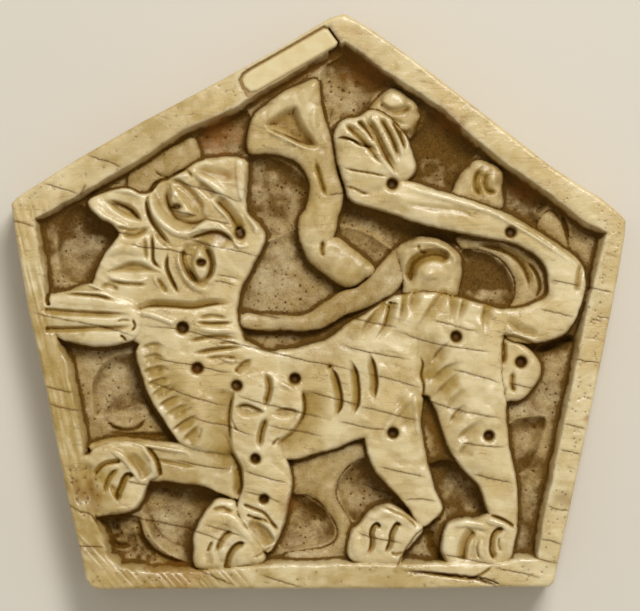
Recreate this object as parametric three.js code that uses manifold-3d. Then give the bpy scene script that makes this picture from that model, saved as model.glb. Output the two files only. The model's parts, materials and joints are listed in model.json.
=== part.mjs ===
// A small gabled plaque of carved ivory: a walking lion, its head turned back over its shoulder and its
// leafy tail raised, above vine scrolls and scooped hollows, inside a plain raised border. A paler strip of
// ivory is let into the upper-left border as an old repair.
// Millimetres. The plaque lies on its flat back: x to the right, y up the carving to the gable's point,
// z out of the carved face.
import * as THREE from 'three'
import { mergeVertices } from 'three/addons/utils/BufferGeometryUtils.js'
import Module from 'manifold-3d'

const wasm = await Module()
wasm.setup()

// Heights above the flat back
const BORDER_TOP = 7.8
const LOCK_TOP = 8.0 // the mane lock that lies over the border
const SHOULDER_TOP = 8.0
const PAW_TOP = 7.8
const TUFT_TOP = 7.9
const TAIL_TOP = 7.6
const LION_TOP = 7.5
const FAR_LEG_TOP = 7.0
const LOBE_TOP = 6.9
const VINE_TOP = 6.3
const TENDRIL_TOP = 5.8 // the thinner bands and small leaves
const LEDGE = 5.2 // the ground that was left between border and hollows
const HOLLOW_FLOOR = 4.2
const FOOT = 3.8 // raised forms start here, under the hollows' floors

// Edges
const ROUND = 0.35 // the worn arris round each raised form
const OUTER_ROUND = 0.4
const BORDER_SLOPE = 0.7 // how far the border's inner wall leans in
const BORDER_SLOPE_HEIGHT = 2.4
const THIN = 0.01 // bevel of a prism with sharp ends
const WELD = 1e-4
const BORDER_SPARE = 1.2 // the frame is made this much too wide before it is trimmed

// Drill and gouges
const DRILL_RADIUS = 0.75
const DRILL_DEPTH = 1.6
const DRILL_TAPER = 0.8 // radius at the bottom of a hole, as a share of the radius at its mouth
const DRILL_SIDES = 10
const GOUGE_DEPTH = 0.45
const LINE_WIDTH = 0.45
const STROKE_WIDTH = 0.8
const SWELL_START = 0.08 // a cut begins and ends at this share of half a wave, so that its ends are narrow
const CLEAR = 1 // how far the cutters stand above the surface they cut

// Points that a curve gets for each point of its outline
const FORM_POINTS = 1.6
const HOLLOW_POINTS = 1.5

// Repair strip
const STRIP_TOP = 7.75
const STRIP_BOTTOM = 5.5
const STRIP_ROUND = 0.2
const FIT_GAP = 0.3
const OPEN_SIDE = [0.45, -0.8] // its seat runs out into the hollow on this side

// The outer edge, anticlockwise from the gable's point
const OUTLINE = [
  [2.9, 32.8], [1.3, 32.3], [-4.4, 28.9], [-13, 24.2], [-20, 20.5], [-27.5, 16.2], [-34.4, 11.8],
  [-35, 11.1], [-34.4, 7], [-33, -1.2], [-31.8, -6.3], [-29.7, -16.7], [-28.5, -22.7], [-27.1, -28.6],
  [-26.5, -31.6], [-25.9, -32.5], [-24.9, -32.8], [-16, -32.7], [11.6, -32.7], [21, -32.5], [26.2, -32.5],
  [26.8, -32], [27.8, -27.3], [30.3, -15.8], [32.2, -6.7], [34, 2.4], [34.9, 7.6], [35, 9.2], [34.4, 9.9],
  [32, 11.9], [29.8, 13.2], [26.3, 15.5], [22.9, 18.2], [18.4, 21.7], [11.6, 27], [5.9, 31.1]
]

// The border's inner edge, ragged where the knife followed the carving
const INNER_EDGE = [
  [3, 29.5], [2.3, 29.3], [-6.9, 23.8], [-8.6, 22.6], [-11, 21.3], [-14.4, 19.9], [-16, 19.2], [-18.3, 17.6],
  [-20, 16.4], [-22.4, 15], [-26, 12.9], [-29.4, 11], [-32.3, 9.4], [-32.2, 8.2], [-31.5, 4.5], [-31.1, 0.4],
  [-29.6, -5], [-28.7, -6.7], [-27.6, -12.1], [-26.8, -16.6], [-26.5, -20.3], [-25.6, -24.4],
  [-24.6, -26.7], [-24, -28.9], [-22.6, -30.3], [-18.8, -30.8], [-13.5, -30.6], [-6.2, -30], [4.2, -29.8],
  [13.9, -29.9], [18.4, -30.1], [22.4, -29.3], [24.9, -29.2], [25.9, -23.2], [28.5, -11.2], [30.8, 0.2],
  [32.2, 5.6], [32.8, 7.8], [29.8, 9.4], [26.3, 12.2], [19.6, 17], [16.2, 20], [13.8, 22.2], [8.1, 25.9]
]

const STRIP = [
  [-8.8, 25.2], [-8.5, 24.4], [-7.8, 23.8], [-6.9, 24], [2, 29.1], [2.2, 29.5], [1.1, 31], [0.6, 31.1],
  [-7.8, 26.3], [-8.5, 25.8]
]

// Forms that stand up from the ground: an outline and the height of its top
const FORMS = [
  // trunk, from the chest along the belly to the rump and back along the spine
  { top: LION_TOP, outline: [
    [-20.5, -4.8], [-19.9, -8.9], [-19, -11.3], [-17.6, -13.5], [-15.4, -16.4], [-10, -17.5], [-3.6, -18],
    [-1, -17.5], [2.4, -16.5], [5.3, -15.5], [9, -16], [12.4, -12.6], [17, -12.5], [20.9, -11], [20.9, -8],
    [21.1, -4], [22, -1.4], [19.5, -0.6], [16.1, 0.4], [12.7, 1], [10.4, 0.9], [8, 0.2], [5.3, -1.5],
    [3.4, -2.6], [1.3, -4.2], [-1, -5], [-3.2, -5.5], [-6, -5.6], [-9, -4.4], [-14, -3]
  ] },
  // head and neck, with the long square upper jaw
  { top: LION_TOP, outline: [
    [-12.9, 16.2], [-8.5, 16.2], [-8.3, 13.5], [-8.2, 10.2], [-6.9, 8.9], [-6.1, 7.5], [-6.5, 6],
    [-7.8, 3.6], [-9, 1], [-9.3, -2], [-8.6, -5.4], [-12, -8], [-18, -7.4], [-20.4, -5], [-20.6, -2],
    [-22, 1], [-24.2, 2.4], [-25.4, 2.2], [-24.6, 5], [-23.4, 6.7], [-22.7, 7.7], [-23.6, 8.9],
    [-25, 9.6], [-26.3, 11.3], [-24.4, 12.4], [-22, 12.8], [-20.2, 12.2], [-19, 12.6], [-18.1, 13.7],
    [-17, 14], [-15.3, 14.9]
  ] },
  // mane lock that crosses the left border
  { top: LOCK_TOP, outline: [
    [-30.8, 0.7], [-29, 1], [-26, 2], [-23.5, 1], [-20.5, -0.4], [-20.4, -3.6], [-22.2, -4.7],
    [-25.4, -5.1], [-28.6, -4.5], [-30.7, -3.6], [-31.6, -2.4], [-31.6, -1.1]
  ] },
  // far foreleg, lifted forward
  { top: FAR_LEG_TOP, outline: [
    [-26, -17], [-24.9, -15.9], [-22, -15.5], [-18.6, -16], [-12, -16.4], [-8.8, -18], [-8.8, -22.4],
    [-11.2, -21.9], [-13, -21.1], [-16.3, -20.6], [-21, -20]
  ] },
  { top: PAW_TOP, outline: [
    [-26.2, -17.6], [-24.9, -16.4], [-22, -15.9], [-19.9, -16.4], [-18.6, -17.8], [-18.2, -19.8],
    [-19.3, -20.4], [-20, -22.4], [-21, -23.7], [-22.6, -24.2], [-24.6, -24.1], [-26, -22.6], [-26.4, -20]
  ] },
  // near foreleg with its shoulder
  { top: SHOULDER_TOP, outline: [
    [-9.9, -9.8], [-8.9, -8.6], [-6.4, -7.9], [-3.5, -9.4], [-1.8, -10.8], [-1.5, -12.6], [-2.3, -14.5],
    [-4.2, -16], [-4, -17.2], [-3.3, -19.2], [-3.2, -21.6], [-4.4, -26.2], [-5.6, -28.4], [-6.8, -27],
    [-8.5, -24.3], [-8.9, -23], [-8.4, -21.2], [-9, -18.7], [-10.2, -16.4], [-10.3, -12.7]
  ] },
  { top: PAW_TOP, outline: [
    [-12, -22.9], [-10.1, -22.7], [-9.2, -24], [-7.1, -26.7], [-6.1, -29.2], [-7.2, -30], [-10.6, -30.3],
    [-13.5, -30.3], [-14.2, -28.6], [-14.1, -26.9], [-13.4, -24.9]
  ] },
  // left hind leg
  { top: LION_TOP, outline: [
    [5.3, -15.5], [6.2, -18.8], [7.9, -20.9], [9.8, -22.9], [11.6, -25.6], [13, -25], [14.1, -23.6],
    [13.3, -21.6], [12.1, -18.9], [11.5, -16.1], [11.2, -13.5], [11.6, -10.5], [9, -10], [6, -12]
  ] },
  { top: PAW_TOP, outline: [
    [8.2, -23.4], [5.7, -24.4], [4, -25.5], [3.5, -27.4], [3.7, -29.2], [6, -29.9], [8.6, -29.4],
    [10, -28.2], [11.5, -26.2], [10.3, -24.6]
  ] },
  // right hind leg, under its haunch
  { top: LION_TOP, outline: [
    [13.2, -10], [14.2, -15], [15.1, -17.4], [16.6, -19.2], [18.5, -21.3], [19.4, -24.2], [20.5, -25.6],
    [22.5, -25.8], [22.7, -22], [22.5, -20], [21.8, -17.1], [21.4, -13.6], [20.9, -10], [17, -8]
  ] },
  { top: PAW_TOP, outline: [
    [14.1, -28.9], [13.8, -27.4], [14.3, -25.9], [15.2, -25], [16.8, -24.6], [18.6, -24.9], [21.3, -25.1],
    [22.6, -26.4], [22.2, -28], [21, -29.8], [18.8, -29.9], [15.8, -29.4]
  ] },
  // raised tail and its tuft of leaves
  { top: TAIL_TOP, outline: [
    [4, 13], [9, 13.9], [13.8, 12.5], [17.4, 11.5], [20.7, 10.3], [24.2, 8.5], [27.5, 6.3], [29.6, 4.8],
    [30.4, 3], [30.2, 0.6], [29.2, -2.2], [27.6, -3.9], [25, -4.7], [21.6, -4.2], [20.8, -1.2], [22.6, -0.9],
    [24.5, -0.3], [26, 0.5], [26.3, 2], [25.9, 3.8], [24.6, 5.4], [21.8, 6.8], [18.4, 7.4], [13.8, 8.4],
    [10.4, 9.3], [7, 10.5], [3.7, 11.6]
  ] },
  { top: TUFT_TOP, outline: [
    [1.9, 19.3], [2.8, 20.6], [4.7, 21], [6.1, 21.8], [8, 21], [10, 18.7], [10.8, 16.5], [11, 15.2],
    [10.4, 14.1], [9, 13.4], [3.9, 11.7], [3.1, 13.3], [2.3, 15.7], [1.9, 17.6]
  ] },
  { top: VINE_TOP, outline: [
    [6, 21.6], [6.7, 23.2], [7.6, 24.1], [8.8, 24.4], [10.3, 23.4], [11.4, 22.2], [11.5, 20.6],
    [10.1, 18.4]
  ] },
  // bulb at the root of the tail
  { top: LOBE_TOP, outline: [
    [20.6, -4], [22.5, -4.4], [24.4, -5.8], [25.4, -7.4], [25, -9.2], [23.5, -11], [21.9, -11.3],
    [20.5, -10.8]
  ] },
  // big leaf and the stem under it
  { top: VINE_TOP, outline: [
    [-8, 17], [-8, 19.6], [-7.3, 21.4], [-4.6, 23.6], [-2.4, 24.8], [-0.2, 25.4], [0.2, 23.4], [1, 20],
    [1.7, 18], [2.2, 14.7], [2.9, 12], [2.3, 9.8], [1.3, 6.8], [-1.8, 6.4], [-2.3, 9.2], [-1.4, 11],
    [-1.1, 13.4], [-1.9, 15.4], [-3.4, 16.3], [-5.5, 16.9]
  ] },
  // leaf that curls under the stem
  { top: VINE_TOP, outline: [
    [-1.8, 7], [-1.4, 5], [-0.4, 3.9], [0.8, 3.1], [3.1, 1.6], [5.2, 2.5], [6.4, 3.7], [5.2, 5.1],
    [3.5, 6.4], [1.8, 7.4]
  ] },
  // stem that climbs from the neck to the spiral scroll
  { top: TENDRIL_TOP, outline: [
    [-8.9, -1.4], [-5.4, -1.5], [-1.8, -1.6], [0.6, -0.1], [2.9, 1.3], [4.6, 1.7], [6.8, 4], [8.9, 6.1],
    [10.8, 6.6], [10.2, 3], [8.4, 0.7], [5.5, -0.8], [3, -1.6], [0.5, -3.1], [-2.3, -3.4], [-8.9, -3]
  ] },
  // spiral scroll above the back
  { top: VINE_TOP, outline: [
    [8.9, 5.9], [10, 6.8], [11.6, 7.4], [13.5, 7.2], [15.3, 6.3], [16.3, 5], [16.4, 3.2], [16, 1.1],
    [13, 0.6], [10.5, 0.8], [9.9, 2.4], [9.3, 4.2]
  ] },
  // band that rings the hollow inside the tail
  { top: TENDRIL_TOP, outline: [
    [16, 7.6], [16.3, 6.1], [18.4, 6], [20.4, 5.2], [21.8, 3.8], [22.5, 2.2], [22.4, 0.4], [21.8, -1],
    [26, 0], [26.6, 2], [26, 4.4], [22, 7.2]
  ] },
  // small scroll above the tail
  { top: VINE_TOP, outline: [
    [15.5, 11.6], [15.6, 13.2], [16.2, 14.6], [17, 15.6], [18.2, 16.2], [19.8, 15.8], [21.1, 14.8],
    [21, 13], [20.7, 10.4]
  ] },
  { top: TENDRIL_TOP, outline: [
    [25, 8], [25.2, 9.3], [26, 10.2], [26.8, 10.3], [27.7, 9.2], [28.3, 7.5], [28.5, 5.8], [26.4, 6.6]
  ] },
  // flat leaf left of the gable hollow
  { top: TENDRIL_TOP, outline: [
    [-21.6, 14.8], [-18.6, 16.6], [-14.6, 18.8], [-13.7, 17.4], [-13.7, 15.6], [-17.3, 14], [-19.1, 12.3],
    [-21.4, 12.6]
  ] },
  // forked vine under the belly
  { top: TENDRIL_TOP, outline: [
    [-3.4, -18.6], [-3.4, -21.8], [-1.4, -22.1], [0.4, -23.3], [1.6, -24.8], [2.2, -26.5], [1.4, -27.8],
    [-1, -28.4], [-3.6, -28.7], [-3.4, -29.9], [3.7, -29.7], [3.6, -26.6], [3.7, -25.2], [2.6, -23.4],
    [1.9, -21.6], [2.6, -19.8], [4, -18.4], [5.6, -17.6], [5.2, -15.8], [0, -17]
  ] },
  // leaf under the round hollow at the chest
  { top: TENDRIL_TOP, outline: [
    [-24.2, -13.6], [-22.8, -12.9], [-21.3, -12.4], [-18.9, -12.1], [-19.4, -13.3], [-20.6, -14.2],
    [-22.4, -14.7]
  ] }
]

// Hollows scooped down to a common floor
const HOLLOWS = [
  // behind the ears
  [[-29.9, 4.5], [-29.2, 2.4], [-26.2, 2], [-24.6, 4.6], [-22.8, 7.8], [-25, 10.2], [-27.4, 11.2],
    [-29.2, 10], [-30.1, 7.2]],
  // between the flat leaf and the big leaf
  [[-14.2, 19.2], [-8.2, 22.4], [-8, 16.8], [-13.4, 16.2]],
  // between head and stem
  [[-8.3, 16.6], [-5, 16.6], [-1.6, 14.4], [-1, 11.6], [-1.6, 8.6], [-4, 7], [-6.4, 6.8], [-8.3, 9.8]],
  // the large round one behind the scrolls
  [[-6, 7.2], [-8, 3.6], [-9.2, 0.5], [-9.2, -2.5], [-8.2, -4.8], [-3.2, -5.6], [1.3, -4.2], [5.3, -1.5],
    [8.4, 0.6], [10.6, 1.4], [10.2, 5], [8.6, 6.6], [5.5, 8.4], [2, 9.4], [-2.6, 9]],
  // under the gable
  [[0, 26], [2.7, 28.6], [5.4, 27], [8.3, 25], [6.6, 23.4], [5.4, 21.6], [2.4, 20.8], [0.8, 20.2]],
  // right of the tuft
  [[10.2, 18.4], [11.7, 20.2], [12.3, 21.8], [14, 21.5], [16.6, 19.2], [18.4, 17.2], [16.4, 15],
    [15.4, 12.2], [10.9, 13.6], [10.9, 16.4]],
  [[21.2, 14.6], [23.4, 13.9], [26.4, 11.6], [25.4, 9.8], [25, 8.4], [20.8, 10.6]],
  // between tuft and stem, and on under the tail
  [[1.2, 19.7], [2.4, 19.5], [2, 17], [3.4, 12.2], [4.4, 11.6], [10.4, 9.4], [18, 7.6], [15.4, 6],
    [12, 6.4], [8.4, 5.4], [5, 7.6], [1.4, 8.4], [2, 12], [1.5, 17.6]],
  // inside the tail's curl
  [[16.2, 5.8], [18.5, 5.8], [20.4, 5], [21.8, 3.6], [22.5, 2], [22.2, -0.8], [18.6, -0.2], [16.2, 0.6]],
  // under the tail's root
  [[25.2, -5.8], [26.2, -4.8], [29.2, -3.6], [28.6, -5.6]],
  // beside the haunch
  [[21.6, -13.9], [26, -13.1], [25.6, -16], [24.4, -18.6], [23.2, -19.8], [22.4, -19.6], [21.8, -17]],
  // between the hind legs
  [[11.9, -18.4], [12.6, -17.7], [15.4, -17.3], [17, -19.8], [18.7, -21.8], [19.5, -24.4], [16.8, -24.8],
    [14.7, -25.2], [14, -22.8]],
  // under the belly, left and right of the forked vine
  [[-3.4, -22], [-1.4, -22.2], [0.4, -23.4], [1.6, -25], [2.1, -26.4], [1.4, -27.6], [-1, -28.3],
    [-4.6, -28.2]],
  [[2, -21.4], [2.7, -19.7], [4.2, -18.2], [5.8, -17.9], [7.6, -20.4], [8.8, -22], [7.4, -23.5],
    [5.5, -24.4], [4, -25.4], [2.8, -23.8]],
  // round one at the chest
  [[-26, -9.2], [-25, -7.2], [-23.6, -6.2], [-22, -5.8], [-20.3, -6], [-18.8, -11.6], [-21.3, -12.1],
    [-25.4, -13.4], [-26, -11.6]],
  // bowl between the two front paws, and the rough corner beside it
  [[-19.4, -20.2], [-11.4, -21.8], [-13.8, -25], [-14.2, -29.6], [-15.6, -29.8], [-18.2, -28.2],
    [-19.8, -25.8], [-20.3, -23.4]],
  [[-24.5, -24], [-20.6, -24.4], [-20.2, -26.2], [-18.8, -28.2], [-18.6, -29.9], [-22.4, -30.1],
    [-23.9, -28.7]]
]

// Recesses cut part of the way into a raised form: outline, and how deep under the form's top
const RECESSES = [
  // heart of the big leaf
  { top: VINE_TOP, depth: 0.8, outline: [
    [-5.9, 20.1], [-4.8, 21.3], [-2.5, 22.3], [-1.8, 20.4], [-0.2, 17.8], [-1.6, 17.7], [-4.2, 19]
  ] },
  // insides of the two ears
  { top: LION_TOP, depth: 0.9, outline: [
    [-24.3, 11.4], [-22.6, 11.4], [-20.8, 10.6], [-20.2, 9.2], [-21.8, 9.3], [-23.4, 10]
  ] },
  { top: LION_TOP, depth: 0.9, outline: [
    [-24.4, 3.3], [-22.8, 4.3], [-20.8, 4.8], [-19.2, 4.2], [-17.9, 3.2], [-20, 3.1], [-22.4, 3.3]
  ] },
  // lens scoops on the shoulder
  { top: SHOULDER_TOP, depth: 0.6, outline: [
    [-9.5, -11.9], [-8.4, -11.5], [-7.2, -11.9], [-6.2, -12.6], [-7.6, -13.1], [-8.9, -12.9]
  ] },
  { top: SHOULDER_TOP, depth: 0.6, outline: [
    [-5.2, -12.7], [-4.2, -12.2], [-3.2, -12.2], [-2.1, -12.7], [-3.2, -13.2], [-4.5, -13.2]
  ] },
  // scoop in the upper jaw
  { top: LION_TOP, depth: 0.5, outline: [
    [-13.2, 14.9], [-11.5, 15.2], [-9.6, 14.6], [-9.5, 13.8], [-10.6, 13.3], [-12, 13.9]
  ] },
  // gap between the haunches, down to the ledge
  { top: LION_TOP, depth: LION_TOP - LEDGE, outline: [
    [11.8, -10.6], [12.9, -11], [13.7, -14], [14.9, -17.4], [12.2, -17.8], [11.6, -15], [11.5, -12.4]
  ] }
]

// The two eyes: the line cut round each, and the pupil's drill hole as x, y, radius
const EYES = [
  { socket: [[-17.6, 13], [-17.4, 10.6], [-16.2, 9.2], [-14.2, 9]], pupil: [-16.2, 10.8, 0.5] },
  { socket: [[-15.5, 5.6], [-15.2, 3.4], [-13.8, 1.8]], pupil: [-13.3, 4.5, 0.6] }
]

// Drilled holes: x, y, radius
const DRILLED = [
  [-15.5, -3, 0.8], [-13.8, -7.7, 0.8], [-9.3, -9.6, DRILL_RADIUS], [-2.7, -8.8, DRILL_RADIUS],
  [-7.2, -17.9, 0.65], [-6.2, -22.5, 0.65], [8.5, -15, DRILL_RADIUS], [15.8, -4, DRILL_RADIUS],
  [19.4, -15.4, 0.7], [23, -6.9, DRILL_RADIUS], [21.9, 7.9, DRILL_RADIUS], [8.4, 13.4, DRILL_RADIUS],
  [-8.9, 7.9, 0.8]
]

// Cut lines on the lion: a path and the width of the cut
const LINES = [
  // lock of mane
  { width: 0.7, path: [[-30.6, -1.1], [-26, -1], [-22, -1.3]] },
  { width: 0.6, path: [[-31, -3.1], [-26, -3], [-22, -3]] },
  { width: 0.5, path: [[-28, 0.9], [-23.5, 0.6]] },
  // ribs
  { width: 0.7, path: [[1.4, -7.8], [2.3, -9.8], [2.5, -11.4], [2, -12.9]] },
  { width: 0.7, path: [[3.9, -7.2], [4.6, -9.4], [4.7, -11.6], [4, -12.8]] },
  { width: 0.6, path: [[6, -6.4], [6.7, -8.6], [6.4, -11]] },
  // fur strokes on the back
  { width: 0.8, path: [[7.6, -1], [5.9, -2.8], [5.1, -4.4]] },
  { width: 0.8, path: [[13.9, 0.3], [12.4, -1.6], [11.3, -3]] },
  { width: 0.7, path: [[15.3, 0], [15.1, -1.8]] },
  { width: 0.7, path: [[16.7, -0.4], [16.1, -2.2]] },
  { width: 0.7, path: [[19.1, -1], [18.8, -2.9]] },
  // flank and haunch
  { width: 0.8, path: [[11.6, -6.8], [12, -7.6], [11.6, -9], [11.6, -10.6]] },
  { width: 1, path: [[15.6, -6.8], [14.4, -8], [13, -8.8]] },
  { width: 1, path: [[16.4, -9.2], [15, -10.4], [13.8, -10.8]] },
  { width: 1, path: [[16.6, -11], [15.4, -12.4], [14.4, -13.2]] },
  { width: 1, path: [[18.2, -12.8], [16.8, -14], [15.4, -15.6]] },
  // shoulder
  { width: 0.7, path: [[-6.1, -8.3], [-5.7, -9.8], [-5.9, -12]] },
  { width: 0.7, path: [[-5.8, -13.3], [-6.4, -14.6], [-6.6, -16.6]] },
  // cuffs above the paws
  { width: LINE_WIDTH, path: [[-8.8, -23], [-7.4, -24], [-5.6, -25], [-4.4, -26.4]] },
  { width: LINE_WIDTH, path: [[-22.4, -16.6], [-20.8, -17.8], [-19.6, -19.6]] },
  { width: LINE_WIDTH, path: [[19.4, -24.1], [21, -24.4], [22.6, -24.6]] },
  // toes
  { width: 0.6, path: [[-25, -19.6], [-24, -18.7], [-22.6, -18.4]] },
  { width: 0.7, path: [[-21, -19.8], [-22, -20], [-22.8, -21.4], [-22.9, -22.8]] },
  { width: 0.6, path: [[-12.8, -28.2], [-12, -26.8], [-10.2, -26.1]] },
  { width: 0.7, path: [[-8.5, -27.5], [-9.7, -27.9], [-10.4, -29.2], [-10.6, -30.4]] },
  { width: 0.7, path: [[7, -25.3], [6.2, -25.7], [6, -28]] },
  { width: 0.6, path: [[9.3, -25.4], [8.4, -25.8], [8.1, -27.4], [7.6, -28.3]] },
  { width: 0.8, path: [[18, -26.1], [16.8, -27], [16.4, -29]] },
  { width: 0.7, path: [[20.9, -25.8], [19.8, -26.2], [19.7, -28.2], [20.1, -29.4]] },
  // jaw, mouth, cheek and brow
  { width: 0.7, path: [[-20.4, -0.7], [-16, -0.6], [-12, -0.4]] },
  { width: 0.7, path: [[-11.6, 11.6], [-10.2, 10.3], [-9.3, 8.6]] },
  { width: LINE_WIDTH, path: [[-19.5, 11.6], [-19.2, 9.4], [-18, 7.6], [-16.8, 6.4]] },
  { width: 0.8, path: [[-14.4, 7.3], [-12, 8], [-10, 7]] },
  { width: LINE_WIDTH, path: [[-19, 7.3], [-18.8, 5.2], [-17.6, 3.6], [-16, 1.2]] },
  // tuft
  { width: 0.9, path: [[5.2, 20.4], [6.6, 18.4], [8, 15.6]] },
  { width: 0.8, path: [[6.6, 20.8], [8, 18.6], [9, 16.4]] },
  { width: LINE_WIDTH, path: [[2.2, 18.6], [3.8, 18.4], [6, 17.4]] },
  // spiral of the scroll, and the lines of the small ones
  { width: 0.5, top: VINE_TOP, path: [[10.5, 2.4], [10.6, 4], [12, 5.2], [13.6, 4.9], [14.4, 4]] },
  { width: 0.4, top: VINE_TOP, path: [[18.6, 15], [18.2, 13.6], [18.6, 12.4]] },
  // stroke fringe of the chest, made by the same short gouge
  ...[[-20, -5.1, -17.5, -5], [-19.8, -7, -17.3, -6.4], [-19.3, -8.5, -17.2, -7.7],
    [-18.9, -10.2, -16.2, -9.2], [-18.1, -11.8, -15.2, -10.6], [-17.2, -13.3, -14, -12.1],
    [-15.8, -14.5, -13.6, -13]]
    .map(([x0, y0, x1, y1]) => ({ width: STROKE_WIDTH, path: [[x0, y0], [x1, y1]] })),
  // mane strokes on the neck
  { width: 0.6, path: [[-14, -4.4], [-11.8, -4.1], [-9.6, -4.2]] },
  { width: 0.6, path: [[-13.4, -5.8], [-11, -5.5], [-9, -5.4]] }
]

// An outline as a shape: its own corners, or a closed curve through them
function shapeOf(outline, density = 1) {
  const corners = outline.map(([x, y]) => new THREE.Vector2(x, y))
  if (density === 1) return new THREE.Shape(corners)
  const loop = new THREE.CatmullRomCurve3(corners.map((p) => new THREE.Vector3(p.x, p.y, 0)), true)
  const ring = loop.getPoints(Math.round(corners.length * density)).slice(0, -1)
  return new THREE.Shape(ring.map((p) => new THREE.Vector2(p.x, p.y)))
}

function solidOf(geometry) {
  geometry.deleteAttribute('normal')
  geometry.deleteAttribute('uv')
  const welded = mergeVertices(geometry, WELD)
  return new wasm.Manifold(new wasm.Mesh({
    numProp: 3,
    vertProperties: new Float32Array(welded.attributes.position.array),
    triVerts: new Uint32Array(welded.index.array)
  }))
}

// A prism on an outline between two heights; its ends are rounded by one bevel, or grown outwards
function prism(outline, bottom, top, { round = 0, grow = 0, density = 1 } = {}) {
  const bevelThickness = round || THIN
  const geometry = new THREE.ExtrudeGeometry(shapeOf(outline, density), {
    depth: top - bottom - 2 * bevelThickness,
    bevelEnabled: true,
    bevelThickness,
    bevelSize: round,
    bevelOffset: grow - round,
    bevelSegments: 1
  })
  geometry.translate(0, 0, bottom + bevelThickness)
  return solidOf(geometry)
}

// A cutter with a V section swept along a path, ending in points, as a graver leaves it
function graver(path, width, top, depth) {
  const curve = new THREE.CatmullRomCurve3(path.map(([x, y]) => new THREE.Vector3(x, y, 0)))
  const steps = path.length + 1
  const corners = []
  for (let i = 0; i <= steps; i++) {
    const t = i / steps
    const at = curve.getPoint(t)
    const along = curve.getTangent(t)
    const swell = Math.sin(Math.PI * (SWELL_START + (1 - 2 * SWELL_START) * t))
    const reach = swell * width * (depth + CLEAR) / depth / 2
    corners.push(
      [at.x - along.y * reach, at.y + along.x * reach, top + CLEAR],
      [at.x, at.y, top - depth * swell],
      [at.x + along.y * reach, at.y - along.x * reach, top + CLEAR])
  }
  const faces = [0, 1, 2]
  for (let i = 0; i < steps; i++) {
    const a = 3 * i
    for (let k = 0; k < 3; k++) {
      const m = (k + 1) % 3
      faces.push(a + k, a + 3 + k, a + m, a + m, a + 3 + k, a + 3 + m)
    }
  }
  const last = 3 * steps
  faces.push(last, last + 2, last + 1)
  const geometry = new THREE.BufferGeometry()
  geometry.setAttribute('position', new THREE.Float32BufferAttribute(corners.flat(), 3))
  geometry.setIndex(faces)
  return solidOf(geometry)
}

function drill([x, y, radius], top, depth) {
  const geometry = new THREE.CylinderGeometry(radius, radius * DRILL_TAPER, depth + CLEAR, DRILL_SIDES)
  geometry.rotateX(Math.PI / 2)
  geometry.translate(x, y, top + (CLEAR - depth) / 2)
  return solidOf(geometry)
}

// The border: a frame whose inner wall leans in, trimmed to the plaque's own edge
function border() {
  const wide = shapeOf(OUTLINE.map(([x, y]) => [x * BORDER_SPARE, y * BORDER_SPARE]))
  wide.holes.push(shapeOf(INNER_EDGE))
  const geometry = new THREE.ExtrudeGeometry(wide, {
    depth: BORDER_TOP - FOOT - BORDER_SLOPE_HEIGHT,
    bevelEnabled: true,
    bevelThickness: BORDER_SLOPE_HEIGHT,
    bevelSize: BORDER_SLOPE,
    bevelOffset: 0,
    bevelSegments: 1
  })
  geometry.translate(0, 0, FOOT)
  const body = prism(OUTLINE, FOOT, BORDER_TOP, { round: OUTER_ROUND })
  return solidOf(geometry).intersect(body)
}

function carvedPlaque() {
  let solid = prism(OUTLINE, 0, LEDGE)
  for (const hollow of HOLLOWS) {
    solid = solid.subtract(prism(hollow, HOLLOW_FLOOR, LEDGE + CLEAR, { density: HOLLOW_POINTS }))
  }
  solid = solid.add(border())
  for (const { top, outline } of FORMS) {
    solid = solid.add(prism(outline, FOOT, top, { round: ROUND, density: FORM_POINTS }))
  }
  for (const { top, depth, outline } of RECESSES) {
    solid = solid.subtract(prism(outline, top - depth, LOCK_TOP + CLEAR, { density: HOLLOW_POINTS }))
  }
  for (const { path, width, top = LION_TOP } of LINES) {
    solid = solid.subtract(graver(path, width, top, GOUGE_DEPTH))
  }
  for (const { socket, pupil } of EYES) {
    solid = solid.subtract(graver(socket, STROKE_WIDTH, LION_TOP, GOUGE_DEPTH))
    solid = solid.subtract(drill(pupil, LION_TOP, DRILL_DEPTH))
  }
  for (const hole of DRILLED) {
    solid = solid.subtract(drill(hole, LION_TOP, DRILL_DEPTH))
  }
  const [alongX, alongY] = OPEN_SIDE
  for (const outline of [STRIP, STRIP.map(([x, y]) => [x + alongX, y + alongY])]) {
    solid = solid.subtract(prism(outline, STRIP_BOTTOM - FIT_GAP, LOCK_TOP + CLEAR, { grow: FIT_GAP }))
  }
  return solid
}

function meshOf(name, solid, material) {
  const { vertProperties, triVerts } = solid.getMesh()
  const geometry = new THREE.BufferGeometry()
  geometry.setAttribute('position', new THREE.Float32BufferAttribute(vertProperties, 3))
  geometry.setIndex(new THREE.Uint32BufferAttribute(triVerts, 1))
  geometry.computeVertexNormals()
  const mesh = new THREE.Mesh(geometry, material)
  mesh.name = name
  return mesh
}

const ivory = new THREE.MeshStandardMaterial({ color: 0xcbb98a, roughness: 0.4, metalness: 0 })
const paleIvory = new THREE.MeshStandardMaterial({ color: 0xcdbf9a, roughness: 0.35, metalness: 0 })

const group = new THREE.Group()
group.add(meshOf('plaque', carvedPlaque(), ivory))
const strip = prism(STRIP, STRIP_BOTTOM, STRIP_TOP, { round: STRIP_ROUND })
group.add(meshOf('border_infill_strip', strip, paleIvory))

export default group
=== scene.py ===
# %% [markdown]
# # A small carved plaque of old ivory
# The real piece is one flat slab, about 70 mm wide, carved on one face with a walking lion among vine
# scrolls. A strip of paler ivory is let into its border. The carving is shallow and nothing in it overhangs,
# so one height for every point of the face describes it completely. That is why this lesson carves a
# *height field*: we start with a blank and take material away or leave it standing, in the order a carver
# would.

import json
import math

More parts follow.
